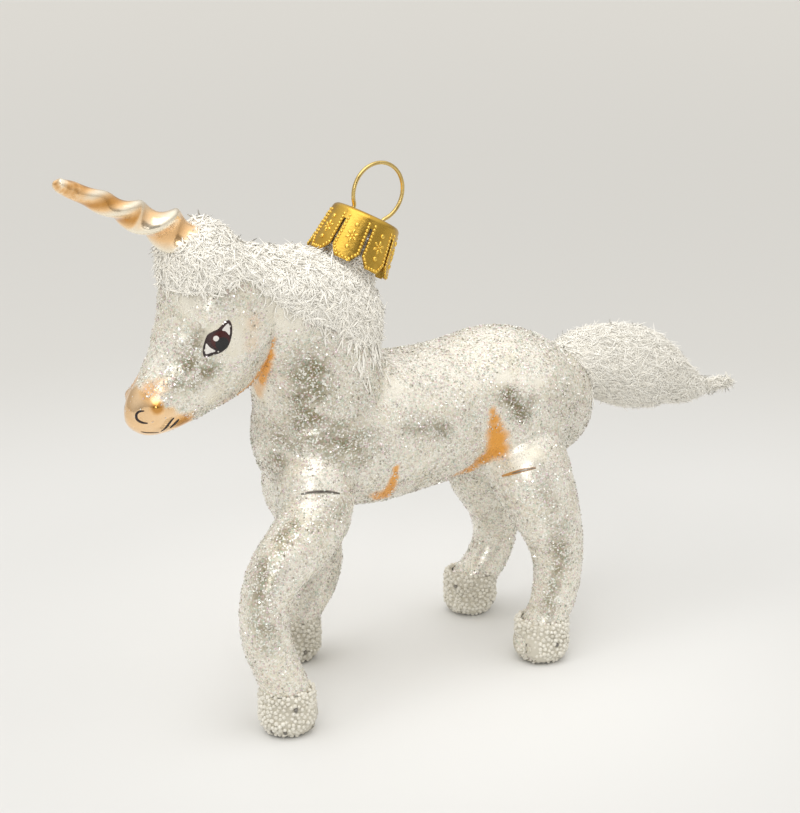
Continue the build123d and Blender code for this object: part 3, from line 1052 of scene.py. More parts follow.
@dataclass(frozen=True)
class FibreFinish(Finish):
    """Glossy white shredded fibre, with a faint painted glow that stands in for light passing through it."""

    pale: Point = (0.99, 0.965, 0.90)
    low: Point = (0.93, 0.89, 0.79)
    # Painted light: a faint emission that stands in for light passing through the loose strands.
    glow: float = 0.04

    def surface(self, bench: NodeBench) -> dict[str, object]:
        """Give each strand its tone and a faint painted glow.

        Args:
            bench: A bench on the material's nodes.

        Returns:
            What each input of the shader gets.
        """
        shift = bench.group(self.effects.tone, Colour=self.pale, Low=self.low, Hue=self.low)
        fuzz = bench.group(self.effects.mottle, Colour=shift.outputs[0], Patch=self.low, Amount=0.15)
        return {
            "Base Color": fuzz.outputs["Colour"],
            "Roughness": bench.between(bench.noise(2400.0, 2.0), 0.38, 0.6),
            "Specular IOR Level": 0.4,
            "Emission Color": fuzz.outputs["Colour"],
            "Emission Strength": self.glow,
            "Normal": bench.relief(bench.noise(3200.0, 6.0, 0.7), 0.2 * MM, 0.3),
        }


@dataclass(frozen=True)
class BeadFinish(Finish):
    """Cream glass micro-beads and the glue between them."""

    pale: Point = (0.87, 0.84, 0.755)
    low: Point = (0.56, 0.52, 0.42)
    odd: Point = (0.10, 0.09, 0.08)

    def surface(self, bench: NodeBench) -> dict[str, object]:
        """Tone each bead, with a few dark ones.

        Args:
            bench: A bench on the material's nodes.

        Returns:
            What each input of the shader gets.
        """
        shift = bench.group(self.effects.tone, Colour=self.pale, Low=self.low, Hue=self.odd)
        soft = bench.group(self.effects.mottle, Colour=shift.outputs[0], Patch=self.low, Amount=0.25)
        return {
            "Base Color": soft.outputs["Colour"],
            "Roughness": bench.between(bench.noise(1500.0), 0.22, 0.42),
            "Coat Weight": 0.35,
            "Normal": bench.relief(bench.noise(2600.0), 0.1 * MM, 0.2),
        }


@dataclass(frozen=True)
class GoldFinish(Finish):
    """Lay a wide floor with a painted pool of light round the object and painted fall-off to a soft grey
    further off.
    """

    gold: Point = (0.62, 0.39, 0.07)
    brown: Point = (0.46, 0.25, 0.03)
    worn: float = 0.55
    grain: float = 1800.0

    def surface(self, bench: NodeBench) -> dict[str, object]:
        """Wear the gilt in soft patches.

        Args:
            bench: A bench on the material's nodes.

        Returns:
            What each input of the shader gets.
        """
        soft = bench.group(self.effects.mottle, Colour=self.gold, Patch=self.brown, Amount=self.worn)
        return {
            "Base Color": soft.outputs["Colour"],
            "Roughness": bench.between(bench.noise(self.grain, 5.0), 0.16, 0.36),
            "Metallic": 1.0,
            "Normal": bench.relief(bench.noise(self.grain, 4.0), 0.1 * MM, 0.28),
        }


@dataclass(frozen=True)
class PaintFinish(Finish):
    """Hand-brushed enamel, for the eyes, the nostrils, the mouth and the seams."""

    colour: Point = (0.02, 0.012, 0.012)
    thin: Point = (0.07, 0.03, 0.03)
    metal: float = 0.0

    def surface(self, bench: NodeBench) -> dict[str, object]:
        """Let the enamel thin out in patches.

        Args:
            bench: A bench on the material's nodes.

        Returns:
            What each input of the shader gets.
        """
        soft = bench.group(self.effects.mottle, Colour=self.colour, Patch=self.thin, Amount=0.6)
        return {
            "Base Color": soft.outputs["Colour"],
            "Roughness": bench.between(bench.noise(2200.0), 0.18, 0.4),
            "Metallic": self.metal,
            "Normal": bench.relief(bench.noise(3000.0), 0.1 * MM, 0.15),
        }


@dataclass(frozen=True)
class PaperFinish(Finish):
    """A paper floor with painted light: a painted pool of light under the object that lightens its shadow,
    and painted fall-off to a soft grey further off.
    """

    # Painted pool of light under the object, which lightens its shadow.
    white: Point = (0.84, 0.84, 0.83)
    # Painted fall-off of the light, ring by ring: distance range in metres and tone.
    rings: tuple[tuple[float, float, Point], ...] = (
        (0.0, 0.1, (0.66, 0.66, 0.65)),
        (0.11, 0.22, (0.595, 0.59, 0.57)),
        (0.25, 0.9, (0.735, 0.725, 0.695)),
    )

    def surface(self, bench: NodeBench) -> dict[str, object]:
        """Paint the light ring by ring, by the distance from the middle in metres.

        Args:
            bench: A bench on the material's nodes.

        Returns:
            What each input of the shader gets.
        """
        away = bench.node("ShaderNodeVectorMath", operation="LENGTH")
        bench.join(bench.place(), away.inputs[0])
        colour: object = self.white
        for start, end, tone in self.rings:
            colour = bench.blend(bench.step(away.outputs["Value"], start, end), colour, tone)
        return {"Base Color": colour, "Roughness": 0.7, "Specular IOR Level": 0.2}


class Finishes:
    """Every finish of the scene, built once on one set of shared effects."""

    def __init__(self) -> None:
        """Build them all."""
        effects = Effects()
        self.pearl = PearlFinish("pearl_lacquer", effects).build()
        self.flake = FlakeFinish("glitter_flakes", effects).build()
        self.lustre = LustreFinish("peach_lustre", effects).build()
        self.fibre = FibreFinish("shredded_fibre", effects).build()
        self.bead = BeadFinish("micro_beads", effects).build()
        self.cap = GoldFinish("stamped_gilt", effects).build()
        self.emboss = GoldFinish("raised_gilt", effects, (0.88, 0.60, 0.12), worn=0.25).build()
        self.wire = GoldFinish("gilt_wire", effects, (0.72, 0.53, 0.20), (0.34, 0.22, 0.07), 0.4).build()
        self.line = PaintFinish("painted_line", effects).build()
        self.iris = PaintFinish("painted_iris", effects, (0.045, 0.007, 0.008), (0.085, 0.02, 0.016)).build()
        self.pupil = PaintFinish("painted_pupil", effects, (0.010, 0.011, 0.012), (0.02, 0.02, 0.02)).build()
        self.white = PaintFinish("painted_white", effects, (0.82, 0.80, 0.76), (0.70, 0.66, 0.62)).build()
        self.slit = PaintFinish("bare_seam", effects, (0.30, 0.28, 0.24), (0.10, 0.09, 0.07), 0.7).build()
        self.rust = PaintFinish("seam_stain", effects, (0.46, 0.20, 0.04), (0.62, 0.34, 0.10)).build()
        self.paper = PaperFinish("floor_paper_painted_light", effects).build()


@dataclass
class SubAssembly:
    """What every sub-assembly gets: the finishes, and the part's solids by name."""

    finishes: Finishes
    nodes: Solids


@dataclass
class GlassFigure(SubAssembly):
    """The blown glass: barrel, neck and head with the pike, four legs and the tail's core."""

    voxel: float = 0.45 * MM
    pike_radius: float = 5.2 * MM
    seam_reach: float = 2.0 * MM
    even_rounds: int = 14
    seam_rounds: int = 36
    soft_rounds: int = 3
    ripples: tuple[tuple[float, float, int], ...] = ((0.10 * MM, 11.0 * MM, 3), (0.04 * MM, 4.0 * MM, 4))
    ragged_scale: float = 2.2 * MM
    patch_scale: float = 5.0 * MM
    patch_mix: Point = (0.9, 0.2, 0.1)
    patch_limits: Pair = (0.4, 1.2)
    shade_spread: float = 1.2
    mark_edge: float = 1.55
    mark_wander: float = 0.08
    muzzle_wander: float = 0.7
    muzzle_fade: float = 0.9
    head_behind: float = -50.0 * MM
    head_levels: Pair = (50.0 * MM, 70.0 * MM)
    flakes_per_area: float = 3.4e6
    flake_half: Pair = (0.085 * MM, 0.17 * MM)
    flake_lift: Pair = (0.02 * MM, 0.11 * MM)
    flake_tilt: float = 0.42
    flake_drift: float = 7.0 * MM
    drift_mix: Pair = (0.75, 0.45)
    drift_limits: Pair = (0.15, 1.2)
    # Dark flakes are painted reflections of dark surroundings, and more of them fall where painted shade
    # lies.
    dark_share: float = 0.07
    dark_in_shade: float = 0.36
    tinted_share: float = 0.16
    seed: int = 40
    flake_loss: tuple[tuple[Paint, float], ...] = (
        (Paint.BARE, 0.93),
        (Paint.LUSTRE, 0.96),
        (Paint.WARM, 0.7),
    )
    parts: tuple[str, ...] = (
        "body_shell",
        "front_left_leg",
        "front_right_leg",
        "hind_left_leg",
        "hind_right_leg",
        "tail_core",
    )
    skin: Mesh | None = None
    tree: BVHTree | None = None
    layers: dict[Paint, Array] = field(default_factory=dict)

    def build(self) -> None:
        """Make the glass pieces and their glitter."""
        self.skin, owner = self.blown_skin()
        self.tree = surface_tree(self.skin)
        self.layers = self.airbrush_and_shade(vertex_points(self.skin))
        for index, name in enumerate(self.parts):
            self.cut_piece(name, index, owner)
        self.add_glitter(owner)

    def blown_skin(self) -> tuple[Mesh, Array]:
        """Wrap all the glass in one skin, soften its seams and shape its muscles.

        Returns:
            The skin, and for each of its vertices the number of the piece that it belongs to.
        """
        form = joined(self.nodes, list(self.parts))
        place = Matrix.Translation(Vector(RIM) * MM) @ Matrix(skin_axes()).transposed().to_4x4()
        bmesh.ops.create_circle(form, cap_ends=True, segments=64, radius=self.pike_radius, matrix=place)
        skin = remeshed("glass_skin", form, self.voxel)
        points = vertex_points(skin)
        edges = edge_rows(skin)
        trees = [surface_tree(self.nodes[name].data) for name in self.parts]
        far = np.stack([distances(tree, points) for tree in trees], axis=1)
        gap = np.hypot(far[:, :1], far[:, 1:]).min(axis=1)
        points = even_skin(points, edges, self.even_rounds)
        points = relax(points, edges, self.seam_rounds, 0.5, np.exp(-((gap / self.seam_reach) ** 2)))
        points = relax(points, edges, self.soft_rounds, 0.4)
        move(skin, points)
        move(skin, points + vertex_normals(skin) * self.muscle(points)[:, None])
        return skin, far.argmin(axis=1)

    def muscle(self, points: Array) -> Array:
        """Work out how far the skin rises or sinks at each point.

        Args:
            points: The skin's points.

        Returns:
            One height for each point, in metres.
        """
        height = sum(rise * lumps(points, scale, seed) for rise, scale, seed in self.ripples)
        for swell in SWELLS:
            for side in Side:
                gap = np.linalg.norm(points - side.mirror(swell.centre) * MM, axis=1) / (swell.reach * MM)
                height = height + swell.height * MM * np.exp(-(gap**2))
        return height

    def airbrush_and_shade(self, points: Array) -> dict[Paint, Array]:
        """Lay the airbrushed marks and the painted shade on the skin.

        Args:
            points: The skin's points.

        Returns:
            A value from 0 to 1 for each point, for each paint.
        """
        ragged = lumps(points, self.ragged_scale, 8)
        layers = {paint: np.zeros(len(points)) for paint in Paint}
        level, patch_share, ragged_share = self.patch_mix
        patchy = level + patch_share * lumps(points, self.patch_scale, 9) + ragged_share * ragged
        patchy = np.clip(patchy, *self.patch_limits)
        for spot in SPOTS:
            for side in Side:
                gap = spot.gap(points, side)
                # Painted shade fades out softly and breaks into patches; the airbrushed marks have ragged
                # edges.
                if spot.paint is Paint.SHADE:
                    cover = patchy * np.exp(-((gap / self.shade_spread) ** 2))
                else:
                    cover = np.clip(self.mark_edge - gap - self.mark_wander * ragged, 0, 1)
                layers[spot.paint] = np.maximum(layers[spot.paint], spot.strength * cover)
        back = np.array((-math.cos(FACE_HEADING), 0.0, -math.sin(FACE_HEADING)))
        reach = (points - np.array(NOSE) * MM) @ back / MM
        muzzle = np.clip((MUZZLE_REACH + self.muzzle_wander * ragged - reach) / self.muzzle_fade, 0, 1)
        low, high = self.head_levels
        head = (points[:, 0] < self.head_behind) & (points[:, 2] > low) & (points[:, 2] < high)
        layers[Paint.LUSTRE] = muzzle * head
        layers[Paint.SHADE] = np.clip(layers[Paint.SHADE], 0, 1)
        return {paint: layer * layer * (3 - 2 * layer) for paint, layer in layers.items()}

    def cut_piece(self, name: str, number: int, owned: Array) -> None:
        """Cut one blown piece out of the skin and keep its smooth shading across the seam.

        Args:
            name: The solid that the piece stands for.
            number: The piece's number.
            owned: The number of the piece that each of the skin's vertices belongs to.
        """
        faces = square_rows(self.skin)
        faces = faces[owned[faces].max(axis=1) == number]
        kept = np.zeros(len(owned), bool)
        kept[faces] = True
        order = np.cumsum(kept) - 1
        mesh = bulk_mesh(name + "_glass", vertex_points(self.skin)[kept], order[faces])
        for paint, values in self.layers.items():
            store(mesh, paint.value, values[kept])
        mesh.normals_split_custom_set_from_vertices(vertex_normals(self.skin)[kept].tolist())
        show(name + "_glass", mesh, self.finishes.pearl, FIGURE, name)

    def add_glitter(self, owner: Array) -> None:
        """Scatter small tilted flakes over the pieces.

        Args:
            owner: The number of the piece that each of the skin's vertices belongs to.
        """
        points = vertex_points(self.skin)
        rows = triangle_rows(self.skin)
        area = triangle_areas(points, rows)
        clear = np.ones(len(points))
        for paint, loss in self.flake_loss:
            clear *= 1 - loss * self.layers[paint]
        level, drift_share = self.drift_mix
        clear *= np.clip(level + drift_share * lumps(points, self.flake_drift, 12), *self.drift_limits)
        for index, name in enumerate(self.parts[:-1]):
            mine = owner == index
            count = int(area[mine[rows].all(axis=1)].sum() * self.flakes_per_area)
            mesh = self.flakes(name + "_glitter", count, clear * mine, self.seed + index)
            show(name + "_glitter", mesh, self.finishes.flake, FIGURE)

    def flakes(self, name: str, count: int, weights: Array, seed: int) -> Mesh:
        """Make one piece's flakes.

        Args:
            name: The mesh's name.
            count: How many flakes.
            weights: How thickly they fall at each of the skin's vertices.
            seed: Which of the random patterns to use.

        Returns:
            A mesh of small square flakes.
        """
        rng = np.random.default_rng(seed)
        place, normal, rows, shares = scatter(self.skin, count, weights, seed)
        shade = (self.layers[Paint.SHADE][rows] * shares).sum(axis=1)
        tilt = unit(normal + rng.normal(scale=self.flake_tilt, size=(count, 3)))
        first = crosswise(tilt, rng.normal(size=(count, 3)))
        second = np.cross(tilt, first)
        half = rng.uniform(*self.flake_half, count)[:, None]
        centre = place + normal * rng.uniform(*self.flake_lift, count)[:, None]
        corners = ((-1, -1), (1, -1), (1, 1), (-1, 1))
        points = np.stack([centre + half * (x * first + y * second) for x, y in corners], axis=1)
        mesh = bulk_mesh(name, points.reshape(-1, 3), np.arange(count * 4).reshape(-1, 4), smooth=False)
        # Painted reflections and shade: dark flakes, thicker where the shade value is high.
        dark = rng.random(count) < self.dark_share + self.dark_in_shade * shade
        tone = np.where(dark, rng.uniform(0.0, 0.4, count), rng.uniform(0.65, 1.0, count))
        hue = np.where(rng.random(count) < self.tinted_share, rng.uniform(0.4, 1.0, count), 0.0)
        tint(mesh, tone, hue, 4)
        return mesh


@dataclass
class Horn(SubAssembly):
    """The twisted lustred horn."""

    voxel: float = 0.2 * MM
    root: Point = (-50.965, 0.0, 88.77)
    rise: float = math.radians(27.0)
    slice_length: float = 0.6 * MM
    slices: int = 81
    first_slice: int = 20
    least_groove: float = 0.25 * MM

    def build(self) -> None:
        """Make the horn from its solid, and find its ridges slice by slice."""
        mesh = remeshed("horn_lustre", joined(self.nodes, ["horn"]), self.voxel)
        edges = edge_rows(mesh)
        points = even_skin(vertex_points(mesh), edges, 10)
        forward = np.array((-math.cos(self.rise), 0.0, math.sin(self.rise)))
        offset = points - np.array(self.root) * MM
        reach = offset @ forward
        radius = np.linalg.norm(offset - reach[:, None] * forward, axis=1)
        slot = np.clip((reach / self.slice_length).astype(int) + self.first_slice, 0, self.slices - 1)
        low = np.full(self.slices, np.inf)
        high = np.zeros(self.slices)
        np.minimum.at(low, slot, radius)
        np.maximum.at(high, slot, radius)
        ridge = np.clip((radius - low[slot]) / np.maximum(high[slot] - low[slot], self.least_groove), 0, 1)
        move(mesh, points)
        # The ridge value drives the lustre's painted highlight on the ridges and painted shade in the
        # grooves.
        store(mesh, "ridge", relax(ridge[:, None].repeat(3, axis=1), edges, 3, 0.5)[:, 0])
        show("horn_lustre", mesh, self.finishes.lustre, FIGURE, "horn")


@dataclass
class FibreCoat(SubAssembly):
    """A layer of shredded fibre glued over the glass: a felted base and loose strands on it."""

    glass: GlassFigure
    node: str
    strands: int
    seed: int
    flow: Point
    flow_share: float
    fringe: int
    width: Pair = (0.12 * MM, 0.29 * MM)
    length: Pair = (1.6 * MM, 3.4 * MM)
    height: float = 0.32 * MM
    bow: float = 0.10
    roll: float = 0.22
    flatness: float = 0.45
    rings: tuple[float, ...] = (0.6, 1.0, 0.3)
    turns: tuple[float, ...] = (math.radians(-150.0), math.radians(-30.0), math.radians(90.0))
    lifted_share: float = 0.12
    lifted_rise: float = 2.2
    root_sink: float = 0.12 * MM
    middle_rise: float = 0.3
    lean: float = 0.35
    tone: Pair = (0.85, 0.22)
    sink: float = 0.45 * MM
    felt: tuple[Pair, ...] = ((0.16 * MM, 1.6 * MM), (0.10 * MM, 0.7 * MM))
    least_lift: float = 0.3 * MM
    voxel: float = 0.42 * MM
    taper: float = 4.5 * MM
    edge_loss: float = 0.9
    base_tone: Pair = (0.72, 0.25)
    base_mottle: float = 1.1 * MM
    fringe_reach: Pair = (1.6 * MM, 8.5 * MM)
    fringe_from: Pair = (-30.0 * MM, -20.0 * MM)
    fringe_margin: float = 10.0 * MM
    fringe_fade: float = 1.6
    fringe_stray: float = 0.7
    fringe_fall: Point = (0.0, 0.0, -0.8)

    def build(self) -> None:
        """Make the base, the strands on it and the fringe beyond its edge."""
        base = remeshed(self.node + "_base", joined(self.nodes, [self.node]), self.voxel)
        edges = edge_rows(base)
        points = relax(vertex_points(base), edges, 5, 0.5)
        hits = [self.glass.tree.find_nearest(Vector(point)) for point in points]
        foot = np.array([hit[0][:] for hit in hits])
        up = np.array([hit[1][:] for hit in hits])
        lift = ((points - foot) * up).sum(axis=1)
        rough = sum(rise * lumps(points, scale, self.seed + k) for k, (rise, scale) in enumerate(self.felt))
        outer = lift > self.least_lift
        thin = self.thinning(points, edges, outer)
        points = points - up * np.where(outer, thin * lift + (1 - thin) * (self.sink + rough), 0.0)[:, None]
        move(base, points)
        level, mottle_share = self.base_tone
        tone = level + mottle_share * lumps(points, self.base_mottle, self.seed + 2)
        tint(base, np.clip(tone, 0, 1), np.zeros(len(points)))
        rng = np.random.default_rng(self.seed + 5)
        place, normal, _, _ = scatter(base, self.strands, outer.astype(float), self.seed + 6)
        hint = rng.normal(size=place.shape) + self.flow_share * np.array(self.flow)
        strands = self.strand_mesh(self.node + "_strands", place, normal, hint, rng)
        show(self.node + "_base", base, self.finishes.fibre, FIGURE, self.node)
        show(self.node + "_strands", strands, self.finishes.fibre, FIGURE)
        show(self.node + "_fringe", self.fringe_mesh(base, rng), self.finishes.fibre, FIGURE)

    def thinning(self, points: Array, edges: Array, outer: Array) -> Array:
        """Work out how much of its thickness the layer loses towards its edge.

        Args:
            points: The layer's points.
            edges: Its edges.
            outer: Which points lie on its outside.

        Returns:
            A share from 0 to 1 for each point.
        """
        rim = np.unique(edges[outer[edges[:, 0]] != outer[edges[:, 1]]])
        tree = KDTree(len(rim))
        for index in rim:
            tree.insert(Vector(points[index]), int(index))
        tree.balance()
        gap = np.array([tree.find(Vector(point))[2] for point in points])
        share = np.clip(gap / self.taper, 0, 1)
        return self.edge_loss * (1 - share) ** 2

    def fringe_mesh(self, base: Mesh, rng: np.random.Generator) -> Mesh:
        """Lay thinning strands on the glass beyond the base's edge.

        Args:
            base: The felted base.
            rng: The source of random numbers.

        Returns:
            A mesh of loose strands.
        """
        skin = self.glass.skin
        points = vertex_points(skin)
        middle = vertex_points(base)
        low, high = middle.min(axis=0) - self.fringe_margin, middle.max(axis=0) + self.fringe_margin
        near = ((points > low) & (points < high)).all(axis=1)
        tree = surface_tree(base)
        reach = np.interp(points[:, 0], self.fringe_from, self.fringe_reach)
        weights = np.zeros(len(points))
        weights[near] = np.clip(1 - distances(tree, points[near]) / reach[near], 0, 1) ** self.fringe_fade
        place, normal, _, _ = scatter(skin, self.fringe, weights, self.seed + 7)
        root = np.array([tree.find_nearest(Vector(point))[0][:] for point in place])
        stray = self.fringe_stray * rng.normal(size=place.shape)
        hint = unit(place - root) + stray + np.array(self.fringe_fall)
        return self.strand_mesh(self.node + "_fringe", place, normal, hint, rng)

    def strand_mesh(
        self, name: str, place: Array, normal: Array, hint: Array, rng: np.random.Generator
    ) -> Mesh:
        """Lay loose curved strips over a skin.

        Args:
            name: The mesh's name.
            place: Where each strip lies.
            normal: The skin's normal there.
            hint: The way that each strip runs.
            rng: The source of random numbers.

        Returns:
            A mesh of thin flat strips.
        """
        count = len(place)
        each = len(self.rings) * len(self.turns)
        along = crosswise(normal, hint)
        side = np.cross(normal, along)
        length = rng.uniform(*self.length, count)[:, None]
        width = rng.uniform(*self.width, count)[:, None]
        bow = rng.normal(scale=self.bow, size=(count, 1)) * length
        height = rng.uniform(0.0, self.height, (count, 1))
        rise = np.abs(rng.normal(scale=self.bow, size=(count, 1))) * length
        rise *= np.where(rng.random((count, 1)) < self.lifted_share, self.lifted_rise, 1.0)
        roll = rng.normal(scale=self.roll, size=(count, 1))
        flat, thick = side + roll * normal, normal - roll * side
        start = place - along * length / 2 + normal * (height - self.root_sink)
        middle = place + side * bow + normal * (height + rise * self.middle_rise)
        end = place + along * length / 2 + normal * (height + rise)
        points = np.stack(
            [
                centre + width * share * (math.cos(turn) * flat + self.flatness * math.sin(turn) * thick)
                for centre, share in zip((start, middle, end), self.rings)
                for turn in self.turns
            ],
            axis=1,
        )
        pattern = strip_faces(len(self.rings), len(self.turns), True)
        faces = (pattern + each * np.arange(count)[:, None, None]).reshape(-1, 4)
        mesh = bulk_mesh(name, points.reshape(-1, 3), faces)
        lean = unit(vertex_normals(mesh) + self.lean * np.repeat(normal, each, axis=0))
        mesh.normals_split_custom_set_from_vertices(lean.tolist())
        tint(mesh, np.clip(rng.normal(*self.tone, count), 0, 1), np.zeros(count), each)
        return mesh


@dataclass
class BeadedHoof(SubAssembly):
    """A hoof rolled in micro-beads."""

    leg: str
    centre: Pair
    seed: int
    radius: float = 5.2 * MM
    sole: float = 3.8 * MM
    flare: float = 2.4 * MM
    height: float = 8.5 * MM
    ankle: float = 4.2 * MM
    bead: Pair = (0.34 * MM, 0.46 * MM)
    voxel: float = 0.35 * MM
    glue_sink: float = 0.42 * MM
    tries: int = 9000
    gap: float = 0.66 * MM
    shift: Pair = (-0.16 * MM, 0.10 * MM)
    dark_share: float = 0.012
    tone: Pair = (0.86, 0.16)
    glue_tone: float = 0.25
    axis_gap: float = 0.4 * MM
    floor_gap: float = 0.01 * MM

    def build(self) -> None:
        """Make the glue core and the beads on it."""
        node = self.leg + "_hoof_beads"
        core = remeshed(node + "_glue", joined(self.nodes, [node]), self.voxel)
        points = relax(vertex_points(core), edge_rows(core), 4, 0.5)
        move(core, points)
        move(core, points - vertex_normals(core) * self.glue_sink)
        tint(core, np.full(len(points), self.glue_tone), np.zeros(len(points)))
        show(node + "_glue", core, self.finishes.bead, FIGURE, node)
        show(node + "_beads", self.bead_mesh(node + "_beads"), self.finishes.bead, FIGURE)

    def profile(self, share: Array) -> tuple[Array, Array]:
        """Follow the hoof's side from the middle of the sole up to the ankle.

        Args:
            share: How far along the side, from 0 to 1.

        Returns:
            The distance from the hoof's axis and the height there.
        """
        inset = self.bead[0]
        across = np.array((0.0, self.sole - inset, self.radius - inset, self.radius - inset, self.ankle))
        up = np.array((inset, inset, self.flare, self.height - 2.2 * inset, self.height - 0.6 * inset))
        run = np.concatenate(([0.0], np.cumsum(np.hypot(np.diff(across), np.diff(up)))))
        return np.interp(share * run[-1], run, across), np.interp(share * run[-1], run, up)

    def bead_mesh(self, name: str) -> Mesh:
        """Pack beads over the hoof.

        Args:
            name: The mesh's name.

        Returns:
            A mesh of small spheres.
        """
        rng = np.random.default_rng(self.seed)
        across, up = self.profile(rng.random(self.tries))
        keep = rng.random(self.tries) < np.maximum(across, self.axis_gap) / self.radius
        across, up = across[keep], up[keep]
        turn = rng.uniform(0, 2 * math.pi, len(across))
        spots = np.stack([across * np.cos(turn), across * np.sin(turn), up], axis=1)
        centres = self.spaced(spots)
        count = len(centres)
        size = rng.uniform(*self.bead, count)
        out = unit(centres * (1, 1, 0))
        centres = centres + out * rng.uniform(*self.shift, count)[:, None]
        centres[:, 2] = np.maximum(centres[:, 2], size + self.floor_gap)
        centres += np.array((*self.centre, 0.0)) * MM
        tone = np.clip(rng.normal(*self.tone, count), 0.2, 1)
        hue = np.where(rng.random(count) < self.dark_share, 0.9, 0.0)
        axes = np.tile(np.eye(3), (count, 1, 1))
        return ball_mesh(name, centres, size[:, None].repeat(3, axis=1), axes, tone, hue)

    def spaced(self, spots: Array) -> Array:
        """Choose spots in turn that stand clear of those already chosen.

        Args:
            spots: The spots to choose from.

        Returns:
            The chosen spots, no two closer than the gap.
        """
        chosen: list[Array] = []
        cells: dict[tuple[int, ...], list[Array]] = {}
        around = [np.array(cell) for cell in np.ndindex(3, 3, 3)]
        for spot in spots:
            key = (spot // self.gap).astype(int)
            near = [other for cell in around for other in cells.get(tuple(key + cell - 1), [])]
            if all(np.linalg.norm(spot - other) >= self.gap for other in near):
                cells.setdefault(tuple(key), []).append(spot)
                chosen.append(spot)
        return np.array(chosen)


def ball_mesh(name: str, centres: Array, sizes: Array, axes: Array, tone: Array, hue: Array) -> Mesh:
    """Make many small balls as one mesh.

    Args:
        name: The mesh's name.
        centres: Their centres.
        sizes: Their half sizes along their own three axes.
        axes: Their axes as the rows of one matrix each.
        tone: A tone for each ball.
        hue: A hue share for each ball.

    Returns:
        The mesh.
    """
    form = bmesh.new()
    bmesh.ops.create_icosphere(form, subdivisions=2, radius=1.0)
    ball = np.array([vertex.co[:] for vertex in form.verts])
    rows = np.array([[vertex.index for vertex in face.verts] for face in form.faces])
    form.free()
    count = len(centres)
    local = ball[None] * sizes[:, None, :]
    points = np.einsum("nvi,nij->nvj", local, axes) + centres[:, None, :]
    faces = (rows[None] + len(ball) * np.arange(count)[:, None, None]).reshape(-1, 3)
    mesh = bulk_mesh(name, points.reshape(-1, 3), faces)
    tint(mesh, tone, hue, len(ball))
    return mesh


